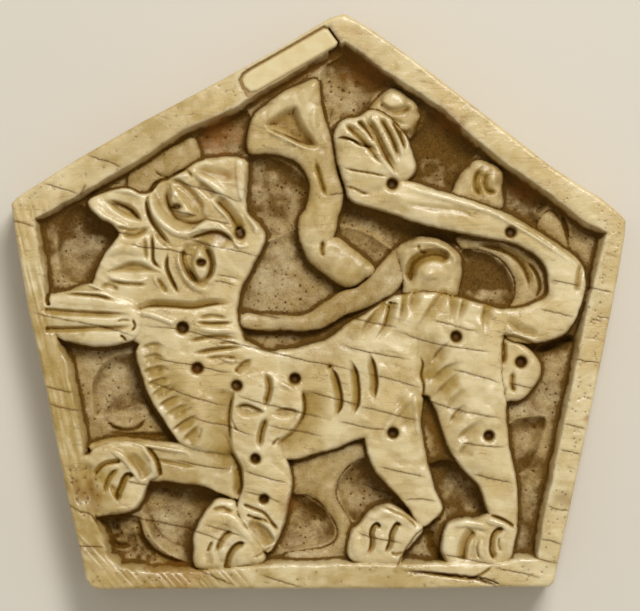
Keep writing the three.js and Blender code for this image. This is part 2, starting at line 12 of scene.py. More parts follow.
import bmesh
import bpy
import numpy as np
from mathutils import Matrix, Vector

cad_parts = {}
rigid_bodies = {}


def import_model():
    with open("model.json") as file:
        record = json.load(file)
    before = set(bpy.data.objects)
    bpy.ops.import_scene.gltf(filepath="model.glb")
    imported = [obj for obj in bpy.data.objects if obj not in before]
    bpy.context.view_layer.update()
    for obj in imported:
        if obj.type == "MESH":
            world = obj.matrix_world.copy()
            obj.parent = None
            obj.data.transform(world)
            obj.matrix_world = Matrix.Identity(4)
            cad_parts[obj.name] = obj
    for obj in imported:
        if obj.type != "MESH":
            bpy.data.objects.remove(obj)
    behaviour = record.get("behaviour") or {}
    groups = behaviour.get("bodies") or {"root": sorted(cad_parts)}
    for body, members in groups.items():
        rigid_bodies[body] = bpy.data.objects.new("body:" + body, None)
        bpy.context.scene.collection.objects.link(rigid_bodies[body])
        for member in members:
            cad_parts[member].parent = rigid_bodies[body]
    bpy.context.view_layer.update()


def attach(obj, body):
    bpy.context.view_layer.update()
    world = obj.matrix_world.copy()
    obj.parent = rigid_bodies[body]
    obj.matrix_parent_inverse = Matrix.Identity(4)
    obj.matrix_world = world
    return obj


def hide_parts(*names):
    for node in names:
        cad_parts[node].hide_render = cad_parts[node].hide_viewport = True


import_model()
MM = 0.001

# %% [markdown]
# ## The grid
# A height field is a sheet of points in even rows. The finest cuts on the real plaque are cracks about
# 0.2 mm wide, so the rows lie close enough together for a crack to catch at least one of them. We work in
# millimetres and turn to metres only when the mesh is made.

# %% A grid of points over the plaque
STEP = 0.115
HALF_WIDTH, HALF_HEIGHT = 35.6, 33.4  # a little more than half the plaque
xs = np.arange(-HALF_WIDTH, HALF_WIDTH + STEP, STEP)
ys = np.arange(-HALF_HEIGHT, HALF_HEIGHT + STEP, STEP)
X, Y = np.meshgrid(xs, ys)
WHOLE = (slice(None), slice(None))
print("grid of", X.size, "points")

# %% [markdown]
# ## Drawing on the grid
# A carver scribes a few points and joins them with a steady hand. We do the same: every outline is a short
# list of points, and a smooth curve runs through them. Everything after that needs just two measures: how
# far a grid point is from a line, and how far along the line the nearest place is.


# %% Smooth lines, and the distance to them
def smooth_line(points, closed=False, fine=5):
    """A curve through all the points, with this many short steps from one to the next."""
    p = np.asarray(points, float)
    ends = (p[-1:], p[:2]) if closed else (2 * p[:1] - p[1:2], 2 * p[-1:] - p[-2:-1])
    p = np.vstack([ends[0], p, ends[1]])
    t = np.arange(fine)[:, None] / fine
    spans = [
        0.5 * (2 * b + (c - a) * t + (2 * a - 5 * b + 4 * c - d) * t**2 + (3 * b - a - 3 * c + d) * t**3)
        for a, b, c, d in zip(p[:-3], p[1:-2], p[2:-1], p[3:])
    ]
    return np.vstack(spans if closed else spans + [p[-2:-1]])


def patch(line, reach):
    """The block of the grid that lies within reach of a line."""
    low, high = line.min(0) - reach, line.max(0) + reach
    cols = np.searchsorted(xs, [low[0], high[0]])
    rows = np.searchsorted(ys, [low[1], high[1]])
    return slice(*rows), slice(*cols)


def nearest(line, here):
    """Distance to the line, which side of it (left is 1), and how far along it, from 0 to 1."""
    x, y = X[here], Y[here]
    best = np.full(x.shape, np.inf)
    side, along = np.zeros(x.shape), np.zeros(x.shape)
    start = 0.0
    for (ax, ay), (bx, by) in zip(line[:-1], line[1:]):
        dx, dy = bx - ax, by - ay
        span = math.hypot(dx, dy)
        if span < 1e-9:
            continue
        t = np.clip(((x - ax) * dx + (y - ay) * dy) / span**2, 0, 1)
        ex, ey = x - ax - t * dx, y - ay - t * dy
        gap = ex * ex + ey * ey
        closer = gap < best
        best = np.where(closer, gap, best)
        side = np.where(closer, dx * ey - dy * ex, side)
        along = np.where(closer, start + t * span, along)
        start += span
    return np.sqrt(best), np.sign(side), along / start


def inward(outline, here):
    """Distance inside a closed outline; outside it counts below zero."""
    ring = np.vstack([outline, outline[:1]])
    gap = nearest(ring, here)[0]
    x, y = X[here], Y[here]
    inside = np.zeros(x.shape, bool)
    for (ax, ay), (bx, by) in zip(ring[:-1], ring[1:]):
        if ay != by:
            inside ^= ((ay > y) != (by > y)) & (x < (bx - ax) * (y - ay) / (by - ay) + ax)
    return np.where(inside, gap, -gap)


print("a curve through 3 points is a line of", len(smooth_line([(0, 0), (1, 1), (2, 0)])), "points")

# %% [markdown]
# What a tool leaves behind, such as dirt in a cut, is kept as a mark: a second field beside the heights, from
# 0 to about 1. The small functions below step softly from one value to another, set a mark, turn axes, and
# read a field between its points.


# %% Soft steps, marks and turned axes
def ease(t):
    """A soft step: 0 up to 0, 1 from 1 on."""
    t = np.clip(t, 0, 1)
    return t * t * (3 - 2 * t)


def mark(field, here, amount):
    """Raises a mark to this amount and never lowers it."""
    field[here] = np.maximum(field[here], amount)


def turned(x, y, degrees):
    """The same places, measured along and across a direction."""
    c, s = math.cos(math.radians(degrees)), math.sin(math.radians(degrees))
    return x * c + y * s, y * c - x * s


def sample(field, row, col, soft=False):
    """Reads a field between its rows and columns, with straight or soft steps."""
    i, j = row.astype(int), col.astype(int)
    up, on = row - i, col - j
    if soft:
        up, on = ease(up), ease(on)
    low = field[i, j] * (1 - on) + field[i, j + 1] * on
    high = field[i + 1, j] * (1 - on) + field[i + 1, j + 1] * on
    return low * (1 - up) + high * up


print("a quarter, a half and three quarters of the way up a soft step:", ease(np.array([0.25, 0.5, 0.75])))

# %% [markdown]
# ## An unsteady hand
# No edge cut by hand is a perfect curve and no scraped surface is a perfect plane. Soft random waves, drawn
# from one seeded generator so that every run gives the same plaque, bend the edges and dent the tops.

# %% Random waves
chance = np.random.default_rng(1180)


def waves(size, stretch=1.0, turn=0.0):
    """Waves from -1 to 1, about this many millimetres long, and drawn out along one direction."""
    u, v = turned(X, Y, turn)
    u, v = u / (size * stretch), v / size
    u, v = u - u.min(), v - v.min()
    knots = chance.uniform(-1, 1, (int(v.max()) + 2, int(u.max()) + 2))
    return sample(knots, v, u, soft=True)


wobble = 0.07 * waves(1.3) + 0.04 * waves(0.6)
print("edges wander by up to", round(float(np.abs(wobble).max()), 2), "mm")

# %% [markdown]
# ## Heights
# All heights are measured from the flat back. The border and the lion stand highest, the vines lie lower,
# and behind everything is a ledge into which the hollows are scooped.

# %% Heights above the back
BORDER_TOP, LION_TOP, VINE_TOP, THIN_VINE_TOP = 7.8, 7.5, 6.3, 5.8
LEDGE = 5.2
WALL = 8.0  # millimetres down for each millimetre out

OUTLINE = [
    (2.9, 32.8), (1.3, 32.3), (-4.4, 28.9), (-13, 24.2), (-20, 20.5), (-27.5, 16.2), (-34.4, 11.8),
    (-35, 11.1), (-34.4, 7), (-33, -1.2), (-31.8, -6.3), (-29.7, -16.7), (-28.5, -22.7), (-27.1, -28.6),
    (-26.5, -31.6), (-25.9, -32.5), (-24.9, -32.8), (-16, -32.7), (11.6, -32.7), (21, -32.5), (26.2, -32.5),
    (26.8, -32), (27.8, -27.3), (30.3, -15.8), (32.2, -6.7), (34, 2.4), (34.9, 7.6), (35, 9.2), (34.4, 9.9),
    (32, 11.9), (29.8, 13.2), (26.3, 15.5), (22.9, 18.2), (18.4, 21.7), (11.6, 27), (5.9, 31.1),
]
rim = inward(np.array(OUTLINE), WHOLE)
height = np.full(X.shape, LEDGE) + 0.06 * waves(2.2) + 0.02 * waves(0.5)
print("blank:", int((rim > 0).sum()), "points on the plaque")

# %% [markdown]
# ## Scooping the hollows
# The carver took the ground away with a round gouge, so each hollow is a bowl: steep at its rim and level in
# the middle. The bowls run on a little way under the figures, because the figures are raised afterwards.
# The rim of a bowl is reckoned from a little above the ledge, so that it breaks through cleanly.

# %% Scoop a bowl
HOLLOW_DEPTH, BOWL_SIDE, BOWL_ROUND, ABOVE_LEDGE = 1.1, 1.7, 2.4, 0.25


def scoop(outline):
    line = smooth_line(outline, closed=True, fine=4)
    here = patch(line, 0.5)
    inside = inward(line, here) + wobble[here]
    bowl = 1 - (1 - np.clip(inside / BOWL_SIDE, 0, 1)) ** BOWL_ROUND
    height[here] = np.minimum(height[here], LEDGE + ABOVE_LEDGE - (HOLLOW_DEPTH + ABOVE_LEDGE) * bowl)


HOLLOWS = [
    # behind the ears
    [(-29.9, 4.5), (-29.2, 2.4), (-26.2, 2), (-24.6, 4.6), (-22.8, 7.8), (-25, 10.2), (-27.4, 11.2),
     (-29.2, 10), (-30.1, 7.2)],
    # between the flat leaf and the big leaf
    [(-14.2, 19.2), (-8.2, 22.4), (-8, 16.8), (-13.4, 16.2)],
    # between head and stem
    [(-8.3, 16.6), (-5, 16.6), (-1.6, 14.4), (-1, 11.6), (-1.6, 8.6), (-4, 7), (-6.4, 6.8), (-8.3, 9.8)],
    # the large round one behind the scrolls
    [(-6, 7.2), (-8, 3.6), (-9.2, 0.5), (-9.2, -2.5), (-8.2, -4.8), (-3.2, -5.6), (1.3, -4.2), (5.3, -1.5),
     (8.4, 0.6), (10.6, 1.4), (10.2, 5), (8.6, 6.6), (5.5, 8.4), (2, 9.4), (-2.6, 9)],
    # under the gable
    [(0, 26), (2.7, 28.6), (5.4, 27), (8.3, 25), (6.6, 23.4), (5.4, 21.6), (2.4, 20.8), (0.8, 20.2)],
    # right of the tuft
    [(10.2, 18.4), (11.7, 20.2), (12.3, 21.8), (14, 21.5), (16.6, 19.2), (18.4, 17.2), (16.4, 15),
     (15.4, 12.2), (10.9, 13.6), (10.9, 16.4)],
    [(21.2, 14.6), (23.4, 13.9), (26.4, 11.6), (25.4, 9.8), (25, 8.4), (20.8, 10.6)],
    # between tuft and stem, and on under the tail
    [(1.2, 19.7), (2.4, 19.5), (2, 17), (3.4, 12.2), (4.4, 11.6), (10.4, 9.4), (18, 7.6), (15.4, 6),
     (12, 6.4), (8.4, 5.4), (5, 7.6), (1.4, 8.4), (2, 12), (1.5, 17.6)],
    # inside the tail's curl
    [(16.2, 5.8), (18.5, 5.8), (20.4, 5), (21.8, 3.6), (22.5, 2), (22.2, -0.8), (18.6, -0.2), (16.2, 0.6)],
    # under the tail's root
    [(25.2, -5.8), (26.2, -4.8), (29.2, -3.6), (28.6, -5.6)],
    # beside the haunch
    [(21.6, -13.9), (26, -13.1), (25.6, -16), (24.4, -18.6), (23.2, -19.8), (22.4, -19.6), (21.8, -17)],
    # between the hind legs
    [(11.9, -18.4), (12.6, -17.7), (15.4, -17.3), (17, -19.8), (18.7, -21.8), (19.5, -24.4), (16.8, -24.8),
     (14.7, -25.2), (14, -22.8)],
    # under the belly, left and right of the forked vine
    [(-3.4, -22), (-1.4, -22.2), (0.4, -23.4), (1.6, -25), (2.1, -26.4), (1.4, -27.6), (-1, -28.3),
     (-4.6, -28.2)],
    [(2, -21.4), (2.7, -19.7), (4.2, -18.2), (5.8, -17.9), (7.6, -20.4), (8.8, -22), (7.4, -23.5),
     (5.5, -24.4), (4, -25.4), (2.8, -23.8)],
    # round one at the chest
    [(-26, -9.2), (-25, -7.2), (-23.6, -6.2), (-22, -5.8), (-20.3, -6), (-18.8, -11.6), (-21.3, -12.1),
     (-25.4, -13.4), (-26, -11.6)],
    # bowl between the two front paws, and the rough corner beside it
    [(-19.4, -20.2), (-11.4, -21.8), (-13.8, -25), (-14.2, -29.6), (-15.6, -29.8), (-18.2, -28.2),
     (-19.8, -25.8), (-20.3, -23.4)],
    [(-24.5, -24), (-20.6, -24.4), (-20.2, -26.2), (-18.8, -28.2), (-18.6, -29.9), (-22.4, -30.1),
     (-23.9, -28.7)],
]
for hollow in HOLLOWS:
    scoop(hollow)
print(len(HOLLOWS), "hollows, lowest point", round(float(height.min()), 2), "mm")

# %% [markdown]
# ## Forms that stand up
# What the carver left standing has a top, a worn arris that rolls over, and a steep wall. One function makes
# all of them from an outline. Outlines given together melt into one form; forms given one after the other
# keep a crease where they meet, because the higher of the two always wins.


# %% Raise a form
def soft_max(a, b, blend):
    """The higher of two fields, with a little fillet where they meet."""
    t = np.clip(0.5 + 0.5 * (a - b) / blend, 0, 1)
    return b * (1 - t) + a * t + blend * t * (1 - t)


def rolled(inside, across, down):
    """How far a worn arris has sunk: by all of `down` at the edge, by nothing from `across` inwards."""
    turn = np.clip(inside / across, 0, 1)
    return down * (1 - np.sqrt(1 - (1 - turn) ** 2))


DOME_REACH = 1.6  # millimetres inside the outline by which most of a dome has risen


def raise_form(top, *outlines, roll=(0.8, 0.5), dome=0.0, blend=0.12):
    lines = [smooth_line(outline, closed=True, fine=4) for outline in outlines]
    here = patch(np.vstack(lines), 1.2)
    inside = np.maximum.reduce([inward(line, here) for line in lines]) + wobble[here]
    drop = rolled(inside, *roll) + WALL * np.maximum(-inside, 0)
    form = top - drop + dome * (1 - np.exp(-np.maximum(inside, 0) / DOME_REACH))
    height[here] = soft_max(height[here], form, blend)

# %% The border
INNER_EDGE = [
    (3, 29.5), (2.3, 29.3), (-6.9, 23.8), (-8.6, 22.6), (-11, 21.3), (-14.4, 19.9), (-16, 19.2),
    (-18.3, 17.6), (-20, 16.4), (-22.4, 15), (-26, 12.9), (-29.4, 11), (-32.3, 9.4), (-32.2, 8.2),
    (-31.5, 4.5), (-31.1, 0.4), (-29.6, -5), (-28.7, -6.7), (-27.6, -12.1), (-26.8, -16.6), (-26.5, -20.3),
    (-25.6, -24.4), (-24.6, -26.7), (-24, -28.9), (-22.6, -30.3), (-18.8, -30.8), (-13.5, -30.6),
    (-6.2, -30), (4.2, -29.8), (13.9, -29.9), (18.4, -30.1), (22.4, -29.3), (24.9, -29.2), (25.9, -23.2),
    (28.5, -11.2), (30.8, 0.2), (32.2, 5.6), (32.8, 7.8), (29.8, 9.4), (26.3, 12.2), (19.6, 17), (16.2, 20),
    (13.8, 22.2), (8.1, 25.9),
]
BORDER_WALL = 3.4  # the border's inner wall leans more than the walls of the figures
within = inward(np.array(INNER_EDGE), WHOLE) + 1.1 * wobble
border = BORDER_TOP - rolled(-within, 0.5, 0.3) - BORDER_WALL * np.maximum(within, 0)
border += 0.05 * waves(4) + 0.02 * waves(1.1)
height = soft_max(height, border, 0.15)
print("border up to", round(float(height.max()), 2), "mm")

# %% [markdown]
# The figures, as outlines. Parts that the carver set off with a crease are outlines of their own, and they
# overlap their neighbours.

# %% The lion
LION = {
    "trunk": [
        (-20.5, -4.8), (-19.9, -8.9), (-19, -11.3), (-17.6, -13.5), (-15.4, -16.4), (-10, -17.5), (-3.6, -18),
        (-1, -17.5), (2.4, -16.5), (5.3, -15.5), (9, -16), (11.3, -13), (11.7, -10.8), (12.7, -10.9),
        (13.6, -12.4), (17, -12.6), (20.9, -11), (20.9, -8),
        (21.1, -4), (22, -1.4), (19.5, -0.6), (16.1, 0.4), (12.7, 1), (10.4, 0.9), (8, 0.2), (5.3, -1.5),
        (3.4, -2.6), (1.3, -4.2), (-1, -5), (-3.2, -5.5), (-6, -5.6), (-9, -4.4), (-14, -3),
    ],
    "head": [
        (-12.9, 16.2), (-8.5, 16.2), (-8.3, 13.5), (-8.2, 10.2), (-6.9, 8.9), (-6.1, 7.5), (-6.5, 6),
        (-7.8, 3.6), (-9, 1), (-9.3, -2), (-8.6, -5.4), (-12, -8), (-18, -7.4), (-20.4, -5), (-22.6, -3),
        (-24.8, -1), (-25.8, 1.2), (-25.6, 2.6), (-24.6, 5), (-23.4, 6.7), (-22.7, 7.7), (-23.6, 8.9),
        (-25, 9.6), (-26.3, 11.3), (-24.4, 12.4), (-22, 12.8), (-20.2, 12.2), (-19, 12.6), (-18.1, 13.7),
        (-17, 14), (-15.3, 14.9),
    ],
    "mane_lock": [
        (-30.8, 0.7), (-29, 1), (-26, 2), (-23.5, 1), (-20.5, -0.4), (-20.4, -3.6), (-22.2, -4.7),
        (-25.4, -5.1), (-28.6, -4.5), (-30.7, -3.6), (-31.6, -2.4), (-31.6, -1.1),
    ],
    "far_foreleg": [
        (-26, -17), (-24.9, -15.9), (-22, -15.5), (-18.6, -16), (-12, -16.4), (-8.8, -18), (-8.8, -22.4),
        (-11.2, -21.9), (-13, -21.1), (-16.3, -20.6), (-21, -20),
    ],
    "raised_paw": [
        (-26.2, -17.6), (-24.9, -16.4), (-22, -15.9), (-19.9, -16.4), (-18.6, -17.8), (-18.2, -19.8),
        (-19.3, -20.4), (-20, -22.4), (-21, -23.7), (-22.6, -24.2), (-24.6, -24.1), (-26, -22.6),
        (-26.4, -20),
    ],
    "near_foreleg": [
        (-9.9, -9.8), (-8.9, -8.6), (-6.4, -7.9), (-3.5, -9.4), (-1.8, -10.8), (-1.5, -12.6), (-2.3, -14.5),
        (-4.2, -16), (-4, -17.2), (-3.3, -19.2), (-3.2, -21.6), (-4.4, -26.2), (-5.8, -28.6), (-7.4, -26.9),
        (-9, -24.4), (-9.2, -23), (-8.6, -21.2), (-9, -18.7), (-10.2, -16.4), (-10.3, -12.7),
    ],
    "near_fore_paw": [
        (-12.3, -23.2), (-11.7, -22.6), (-10.9, -22.5), (-9.5, -22.8), (-9.3, -24.1), (-8.5, -25.3),
        (-7.6, -26.3), (-6.8, -27.4), (-6.2, -28.6), (-6.1, -29.4), (-6.8, -30), (-8, -30), (-10.5, -30.4),
        (-12.1, -30.5), (-14, -30.2), (-14.2, -28.3), (-14.2, -26.8), (-13.8, -25.8), (-13.3, -24.6),
    ],
    "left_hind_leg": [
        (5.3, -15.5), (6.2, -18.8), (7.9, -20.9), (9.8, -22.9), (11.6, -25.6), (13, -25), (14.1, -23.6),
        (13.3, -21.6), (12.5, -18.9), (11.95, -16.1), (11.65, -13.4), (11.75, -10.6), (9, -10), (6, -12),
    ],
    "left_hind_paw": [
        (7.7, -23.2), (8.6, -23.3), (9.9, -24), (11.2, -25.1), (11.9, -26), (10.5, -27.8), (9.7, -28.7),
        (9, -30), (5.2, -29.9), (3.8, -29.4), (3.4, -28.7), (3.5, -27.3), (3.8, -26), (4.6, -25.4),
        (6.1, -23.9),
    ],
    "right_hind_leg": [
        (12.9, -10.6), (13.3, -12.2), (14, -14.4), (14.9, -16.8), (16.6, -19.2), (18.5, -21.3),
        (19.4, -24.2), (20.5, -25.6), (22.5, -25.8), (22.7, -22), (22.5, -20), (21.8, -17.1), (21.4, -13.6),
        (20.9, -10), (17, -8),
    ],
    "right_hind_paw": [
        (14.9, -25.3), (16.7, -24.7), (17.8, -24.8), (18.8, -24.4), (19.5, -24.2), (20.7, -24.6),
        (21.9, -25.2), (22.6, -25.9), (22.4, -27), (22.2, -28.2), (21.9, -29.2), (20.4, -30.4), (17, -30.4),
        (14.9, -30.1), (14.1, -28.6), (14.1, -27.3), (14.3, -26.4),
    ],
    "tail": [
        (4, 13), (9, 13.9), (13.8, 12.5), (17.4, 11.5), (20.7, 10.3), (24.2, 8.5), (27.5, 6.3), (29.6, 4.8),
        (30.4, 3), (30.2, 0.6), (29.2, -2.2), (27.6, -3.9), (25, -4.7), (21.6, -4.2), (20.8, -1.2),
        (22.6, -0.9), (24.5, -0.3), (26, 0.5), (26.3, 2), (25.9, 3.8), (24.6, 5.4), (21.8, 6.8),
        (18.4, 7.4), (13.8, 8.4), (10.4, 9.3), (7, 10.5), (3.7, 11.6),
    ],
    "tuft": [
        (1.9, 19.3), (2.8, 20.6), (4.7, 21), (6.1, 21.8), (8, 21), (10, 18.7), (10.8, 16.5), (11, 15.2),
        (10.4, 14.1), (9, 13.4), (3.9, 11.7), (3.1, 13.3), (2.3, 15.7), (1.9, 17.6),
    ],
    "paw_bridge": [
        (-28.6, -17.8), (-27, -17.6), (-25.2, -17.6), (-25, -20), (-24.6, -22.6), (-23.6, -24),
        (-25.4, -24.5), (-28.2, -24.6),
    ],
    "foot_lobe": [
        (9.6, -30.3), (12.7, -29.8), (16, -29.6), (19.8, -29.9), (19.7, -30.2), (19.1, -30.7), (18.2, -31.2),
        (17.2, -31.5), (16.2, -31.4), (14.5, -31.15), (12.7, -31.05), (10.5, -30.9),
    ],
    "lobe": [
        (20.6, -4), (22.5, -4.4), (24.4, -5.8), (25.4, -7.4), (25, -9.2), (23.5, -11), (21.9, -11.3),
        (20.5, -10.8),
    ],
}
print("the lion has", len(LION), "parts")

# %% Leaves and vines
VINES = {
    "ball_leaf": [
        (6, 21.6), (6.7, 23.2), (7.6, 24.1), (8.8, 24.4), (10.3, 23.4), (11.4, 22.2), (11.5, 20.6),
        (10.1, 18.4),
    ],
    "big_leaf": [
        (-8, 17), (-8, 19.6), (-7.3, 21.4), (-4.6, 23.6), (-2.4, 24.8), (-0.2, 25.4), (0.2, 23.4), (1, 20),
        (1.7, 18), (2.2, 14.7), (2.9, 12), (2.3, 9.8), (1.3, 6.8), (-1.8, 6.4), (-2.3, 9.2), (-1.4, 11),
        (-1.1, 13.4), (-1.9, 15.4), (-3.4, 16.3), (-5.5, 16.9),
    ],
    "curled_leaf": [
        (-1.8, 7), (-1.4, 5), (-0.4, 3.9), (0.8, 3.1), (3.1, 1.6), (5.2, 2.5), (6.4, 3.7), (5.2, 5.1),
        (3.5, 6.4), (1.8, 7.4),
    ],
    "scroll": [
        (8.9, 5.9), (10, 6.8), (11.6, 7.4), (13.5, 7.2), (15.3, 6.3), (16.3, 5), (16.4, 3.2), (16.2, 1.8),
        (15.6, 0.3), (13, 0.1), (9.8, 0), (9.7, 2.4), (9.3, 4.2),
    ],
    "small_scroll": [
        (15.5, 11.6), (15.6, 13.2), (16.2, 14.6), (17, 15.6), (18.2, 16.2), (19.8, 15.8), (21.1, 14.8),
        (21, 13), (20.7, 10.4),
    ],
}
THIN_VINES = {
    "climbing_stem": [
        (-8.9, -1.4), (-5.4, -1.5), (-1.8, -1.6), (0.6, -0.1), (2.9, 1.3), (4.6, 1.7), (6.8, 4), (8.9, 6.1),
        (10.8, 6.6), (10.2, 3), (8.4, 0.7), (5.5, -0.8), (3, -1.6), (0.5, -3.1), (-2.3, -3.4), (-8.9, -3),
    ],
    "tail_band": [
        (16, 7.6), (16.3, 6.1), (18.4, 6), (20.4, 5.2), (21.8, 3.8), (22.5, 2.2), (22.4, 0.4), (21.8, -1),
        (26, 0), (26.6, 2), (26, 4.4), (22, 7.2),
    ],
    "small_leaf": [
        (25, 8), (25.2, 9.3), (26, 10.2), (26.8, 10.3), (27.7, 9.2), (28.3, 7.5), (28.5, 5.8), (26.4, 6.6),
    ],
    "flat_leaf": [
        (-21.6, 14.8), (-18.6, 16.6), (-14.6, 18.8), (-13.7, 17.4), (-13.7, 15.6), (-17.3, 14), (-19.1, 12.3),
        (-21.4, 12.6),
    ],
    "forked_vine": [
        (-3.4, -18.6), (-3.4, -21.8), (-1.4, -22.1), (0.4, -23.3), (1.6, -24.8), (2.2, -26.5), (1.4, -27.8),
        (-1, -28.4), (-3.6, -28.7), (-3.4, -29.9), (3.7, -29.7), (3.6, -26.6), (3.7, -25.2), (2.6, -23.4),
        (1.9, -21.6), (2.6, -19.8), (4, -18.4), (5.6, -17.6), (5.2, -15.8), (0, -17),
    ],
    "between_legs": [
        (10, -11), (15, -11), (17, -16), (16.4, -18.2), (14, -18.2), (11.6, -18.6), (10, -16),
    ],
    "lens_leaf": [
        (-24.2, -13.6), (-22.8, -12.9), (-21.3, -12.4), (-18.9, -12.1), (-19.4, -13.3), (-20.6, -14.2),
        (-22.4, -14.7),
    ],
}
print(len(VINES) + len(THIN_VINES), "leaves and vines")

# %% [markdown]
# Vines first, then the lion over them, from its far parts to its near ones. The parts differ in height by a
# few tenths of a millimetre, as their shadows show.

# %% Raise the figures
for name, outline in THIN_VINES.items():
    raise_form(5.5 if name == "lens_leaf" else THIN_VINE_TOP, outline, roll=(1.0, 0.5))
for name, outline in VINES.items():
    raise_form(VINE_TOP + 0.1, outline, roll=(1.0, 0.55) if name == "big_leaf" else (1.4, 0.8), dome=0.2)
raise_form(6.9, LION["lobe"])
raise_form(7.0, LION["far_foreleg"], roll=(0.6, 0.35))
raise_form(LION_TOP - 0.15, LION["trunk"], LION["head"], LION["left_hind_leg"], LION["right_hind_leg"],
           roll=(0.6, 0.35), dome=0.15)
raise_form(7.5, LION["tail"], roll=(0.8, 0.4), dome=0.15)
raise_form(7.65, LION["tuft"], roll=(1.0, 0.6), dome=0.3)
raise_form(7.68, LION["near_foreleg"], roll=(1.0, 0.35), dome=0.15, blend=0.45)
for name in ("raised_paw", "near_fore_paw", "left_hind_paw", "right_hind_paw"):
    raise_form(7.65, LION[name], dome=0.15)
raise_form(7.8, LION["mane_lock"], dome=0.15)
raise_form(7.62, LION["paw_bridge"], roll=(0.5, 0.2), blend=0.35)
raise_form(7.82, LION["foot_lobe"], roll=(0.6, 0.25), dome=0.05, blend=0.35)
print("forms raised, highest point", round(float(height.max()), 2), "mm")

# %% [markdown]
# ## Cutting lines
# A graver leaves a V with two sides. Pushed upright it cuts both sides alike; leaned over, it leaves one
# steep side and one long gentle one, which is how the carver made one form seem to pass behind another. The
# same function with a negative depth leaves a ridge, as the strip that stays between two cuts. Each cut
# swells from its start and dies away at its end; its fade says over which share of its length.

# %% Cut a line
GRAVER = 1.5  # makes every line of the drawing bolder or shyer at once
line_mark, patina_mark = np.zeros(X.shape), np.zeros(X.shape)
used = []  # the tools since the last report


def cut(path, width, depth, lean=0.0, fade=(0.3, 0.3), belly=1.4, yellow=4.0):
    """A positive lean puts the gentle side to the left of the path. A belly of 1 cuts a sharp V, 2 a round
    groove. Yellow is how readily the cut collects patina."""
    line = smooth_line(path)
    here = patch(line, 1.2 * width)
    gap, side, along = nearest(line, here)
    swell = ease(0.25 + along / max(fade[0], 0.01)) * ease(0.25 + (1 - along) / max(fade[1], 0.01))
    half = 0.62 * width * (1 + lean * side) * (0.45 + 0.55 * swell)
    height[here] -= GRAVER * depth * swell * (1 - np.clip(gap / half, 0, 1) ** belly)
    if depth > 0:  # dirt in the bottom of the line, and yellow patina across the whole cut
        bottom = swell * np.clip(1 - gap / (0.12 + 0.09 * width), 0, 1)
        mark(line_mark, here, min(1, 2 * depth) * bottom)
        mark(patina_mark, here, min(1, yellow * depth) * ease(1.25 - gap / half) * swell)
    used.append("cut" if depth > 0 else "ridge")


def ridge(path, width, rise, fade=(0.3, 0.3)):
    cut(path, width, -rise, fade=fade, belly=2)


def swell_in(outline, rise, slope=0.6, rubbed=0.0):
    """Lifts, or with a negative rise sinks, what lies inside an outline. Rubbed takes patina off again."""
    line = smooth_line(outline, closed=True, fine=4)
    here = patch(line, 0.2)
    amount = ease((inward(line, here) + 0.5 * wobble[here]) / slope)
    height[here] += GRAVER * rise * amount
    if rise < 0:
        mark(patina_mark, here, min(1, -2 * rise) * amount)
    patina_mark[here] *= 1 - rubbed * amount
    used.append("swell")


def fur(path, width, depth, lean, fade, yellow=4.0):
    """One wedge stroke of fur, no two quite alike."""
    points = np.array(path, float) + chance.normal(0, 0.09, (len(path), 2))
    width, depth = width * chance.uniform(0.8, 1.3), depth * chance.uniform(0.75, 1.2)
    cut(points, width, depth, lean, fade, yellow=yellow)


def report(place):
    print(place + ":", ", ".join(f"{tool}s {used.count(tool)}" for tool in ("cut", "ridge", "swell")))
    used.clear()

# %% [markdown]
# ## The head
# The head looks back over the shoulder with both eyes on one side, as early beasts do. Each eye is an almond
# inside a ring; a brow band, a slit mouth that ends in the nostril, and two leaf-shaped ears make the rest.

# %% Eyes, brows and jaw
UPPER_EYE = [
    (-16.9, 13.5), (-15.8, 12.8), (-15, 11.8), (-14.4, 10.8), (-13.8, 9.8), (-14.8, 9.55), (-15.9, 9.6),
    (-16.6, 10.4), (-17.2, 11.3), (-17.2, 12.5),
]
LOWER_EYE = [
    (-13.4, 6.4), (-12.7, 5.3), (-12.3, 4.2), (-12.3, 3.1), (-12.9, 2.3), (-13.7, 2.2), (-14.4, 3.1),
    (-14.7, 4.1), (-14.5, 5.2), (-14, 6),
]
swell_in([(-19.4, 12.2), (-18.3, 14), (-16.6, 14), (-14.6, 12.6), (-13, 10.4), (-12.4, 9.2), (-14, 8.2),
          (-15.8, 7.6), (-17.2, 8.2), (-18.8, 9.8)], -0.35, 0.9)
swell_in([(-15.7, 6.4), (-14.2, 7), (-12.4, 6.9), (-11.6, 5.2), (-11.7, 3.2), (-12.8, 1.6), (-14.2, 1.8),
          (-15.4, 3.6)], -0.4, 0.8)
swell_in(UPPER_EYE, 0.55, 0.7, rubbed=0.7)
swell_in(LOWER_EYE, 0.5, 0.7, rubbed=0.6)
ridge([(-16.7, 13.2), (-15.4, 12.2), (-14.5, 11), (-14, 10)], 0.7, 0.18)
ridge([(-18.9, 12), (-18.8, 10.8), (-17.9, 9.6), (-16.9, 8.6), (-15.8, 8), (-14.4, 8)], 1.3, 0.4,
    fade=(0.1, 0.2))
ridge([(-15.8, 5.6), (-15.7, 4.2), (-15.1, 2.9), (-14.2, 1.8), (-13, 1.2)], 0.9, 0.3)
cut([(-17.1, 13.9), (-16, 13.6), (-14.9, 12.8), (-14, 11.8), (-13.4, 10.9), (-13.3, 9.9)], 0.8, 0.3)
cut([(-17.3, 13), (-17.3, 11.6), (-16.8, 10.4), (-16.2, 9.5), (-15, 9), (-13.9, 9), (-12.9, 9.5)], 0.55, 0.28)
cut([(-19.3, 12.4), (-18.7, 13.4), (-17.6, 13.9), (-16.9, 14)], 0.5, 0.3, fade=(0.1, 0.2))
cut([(-19.4, 12.2), (-19.6, 11), (-19.2, 9.4), (-18.2, 7.9), (-17.1, 6.6), (-16.8, 6.3)], 0.6, 0.42, lean=0.3)
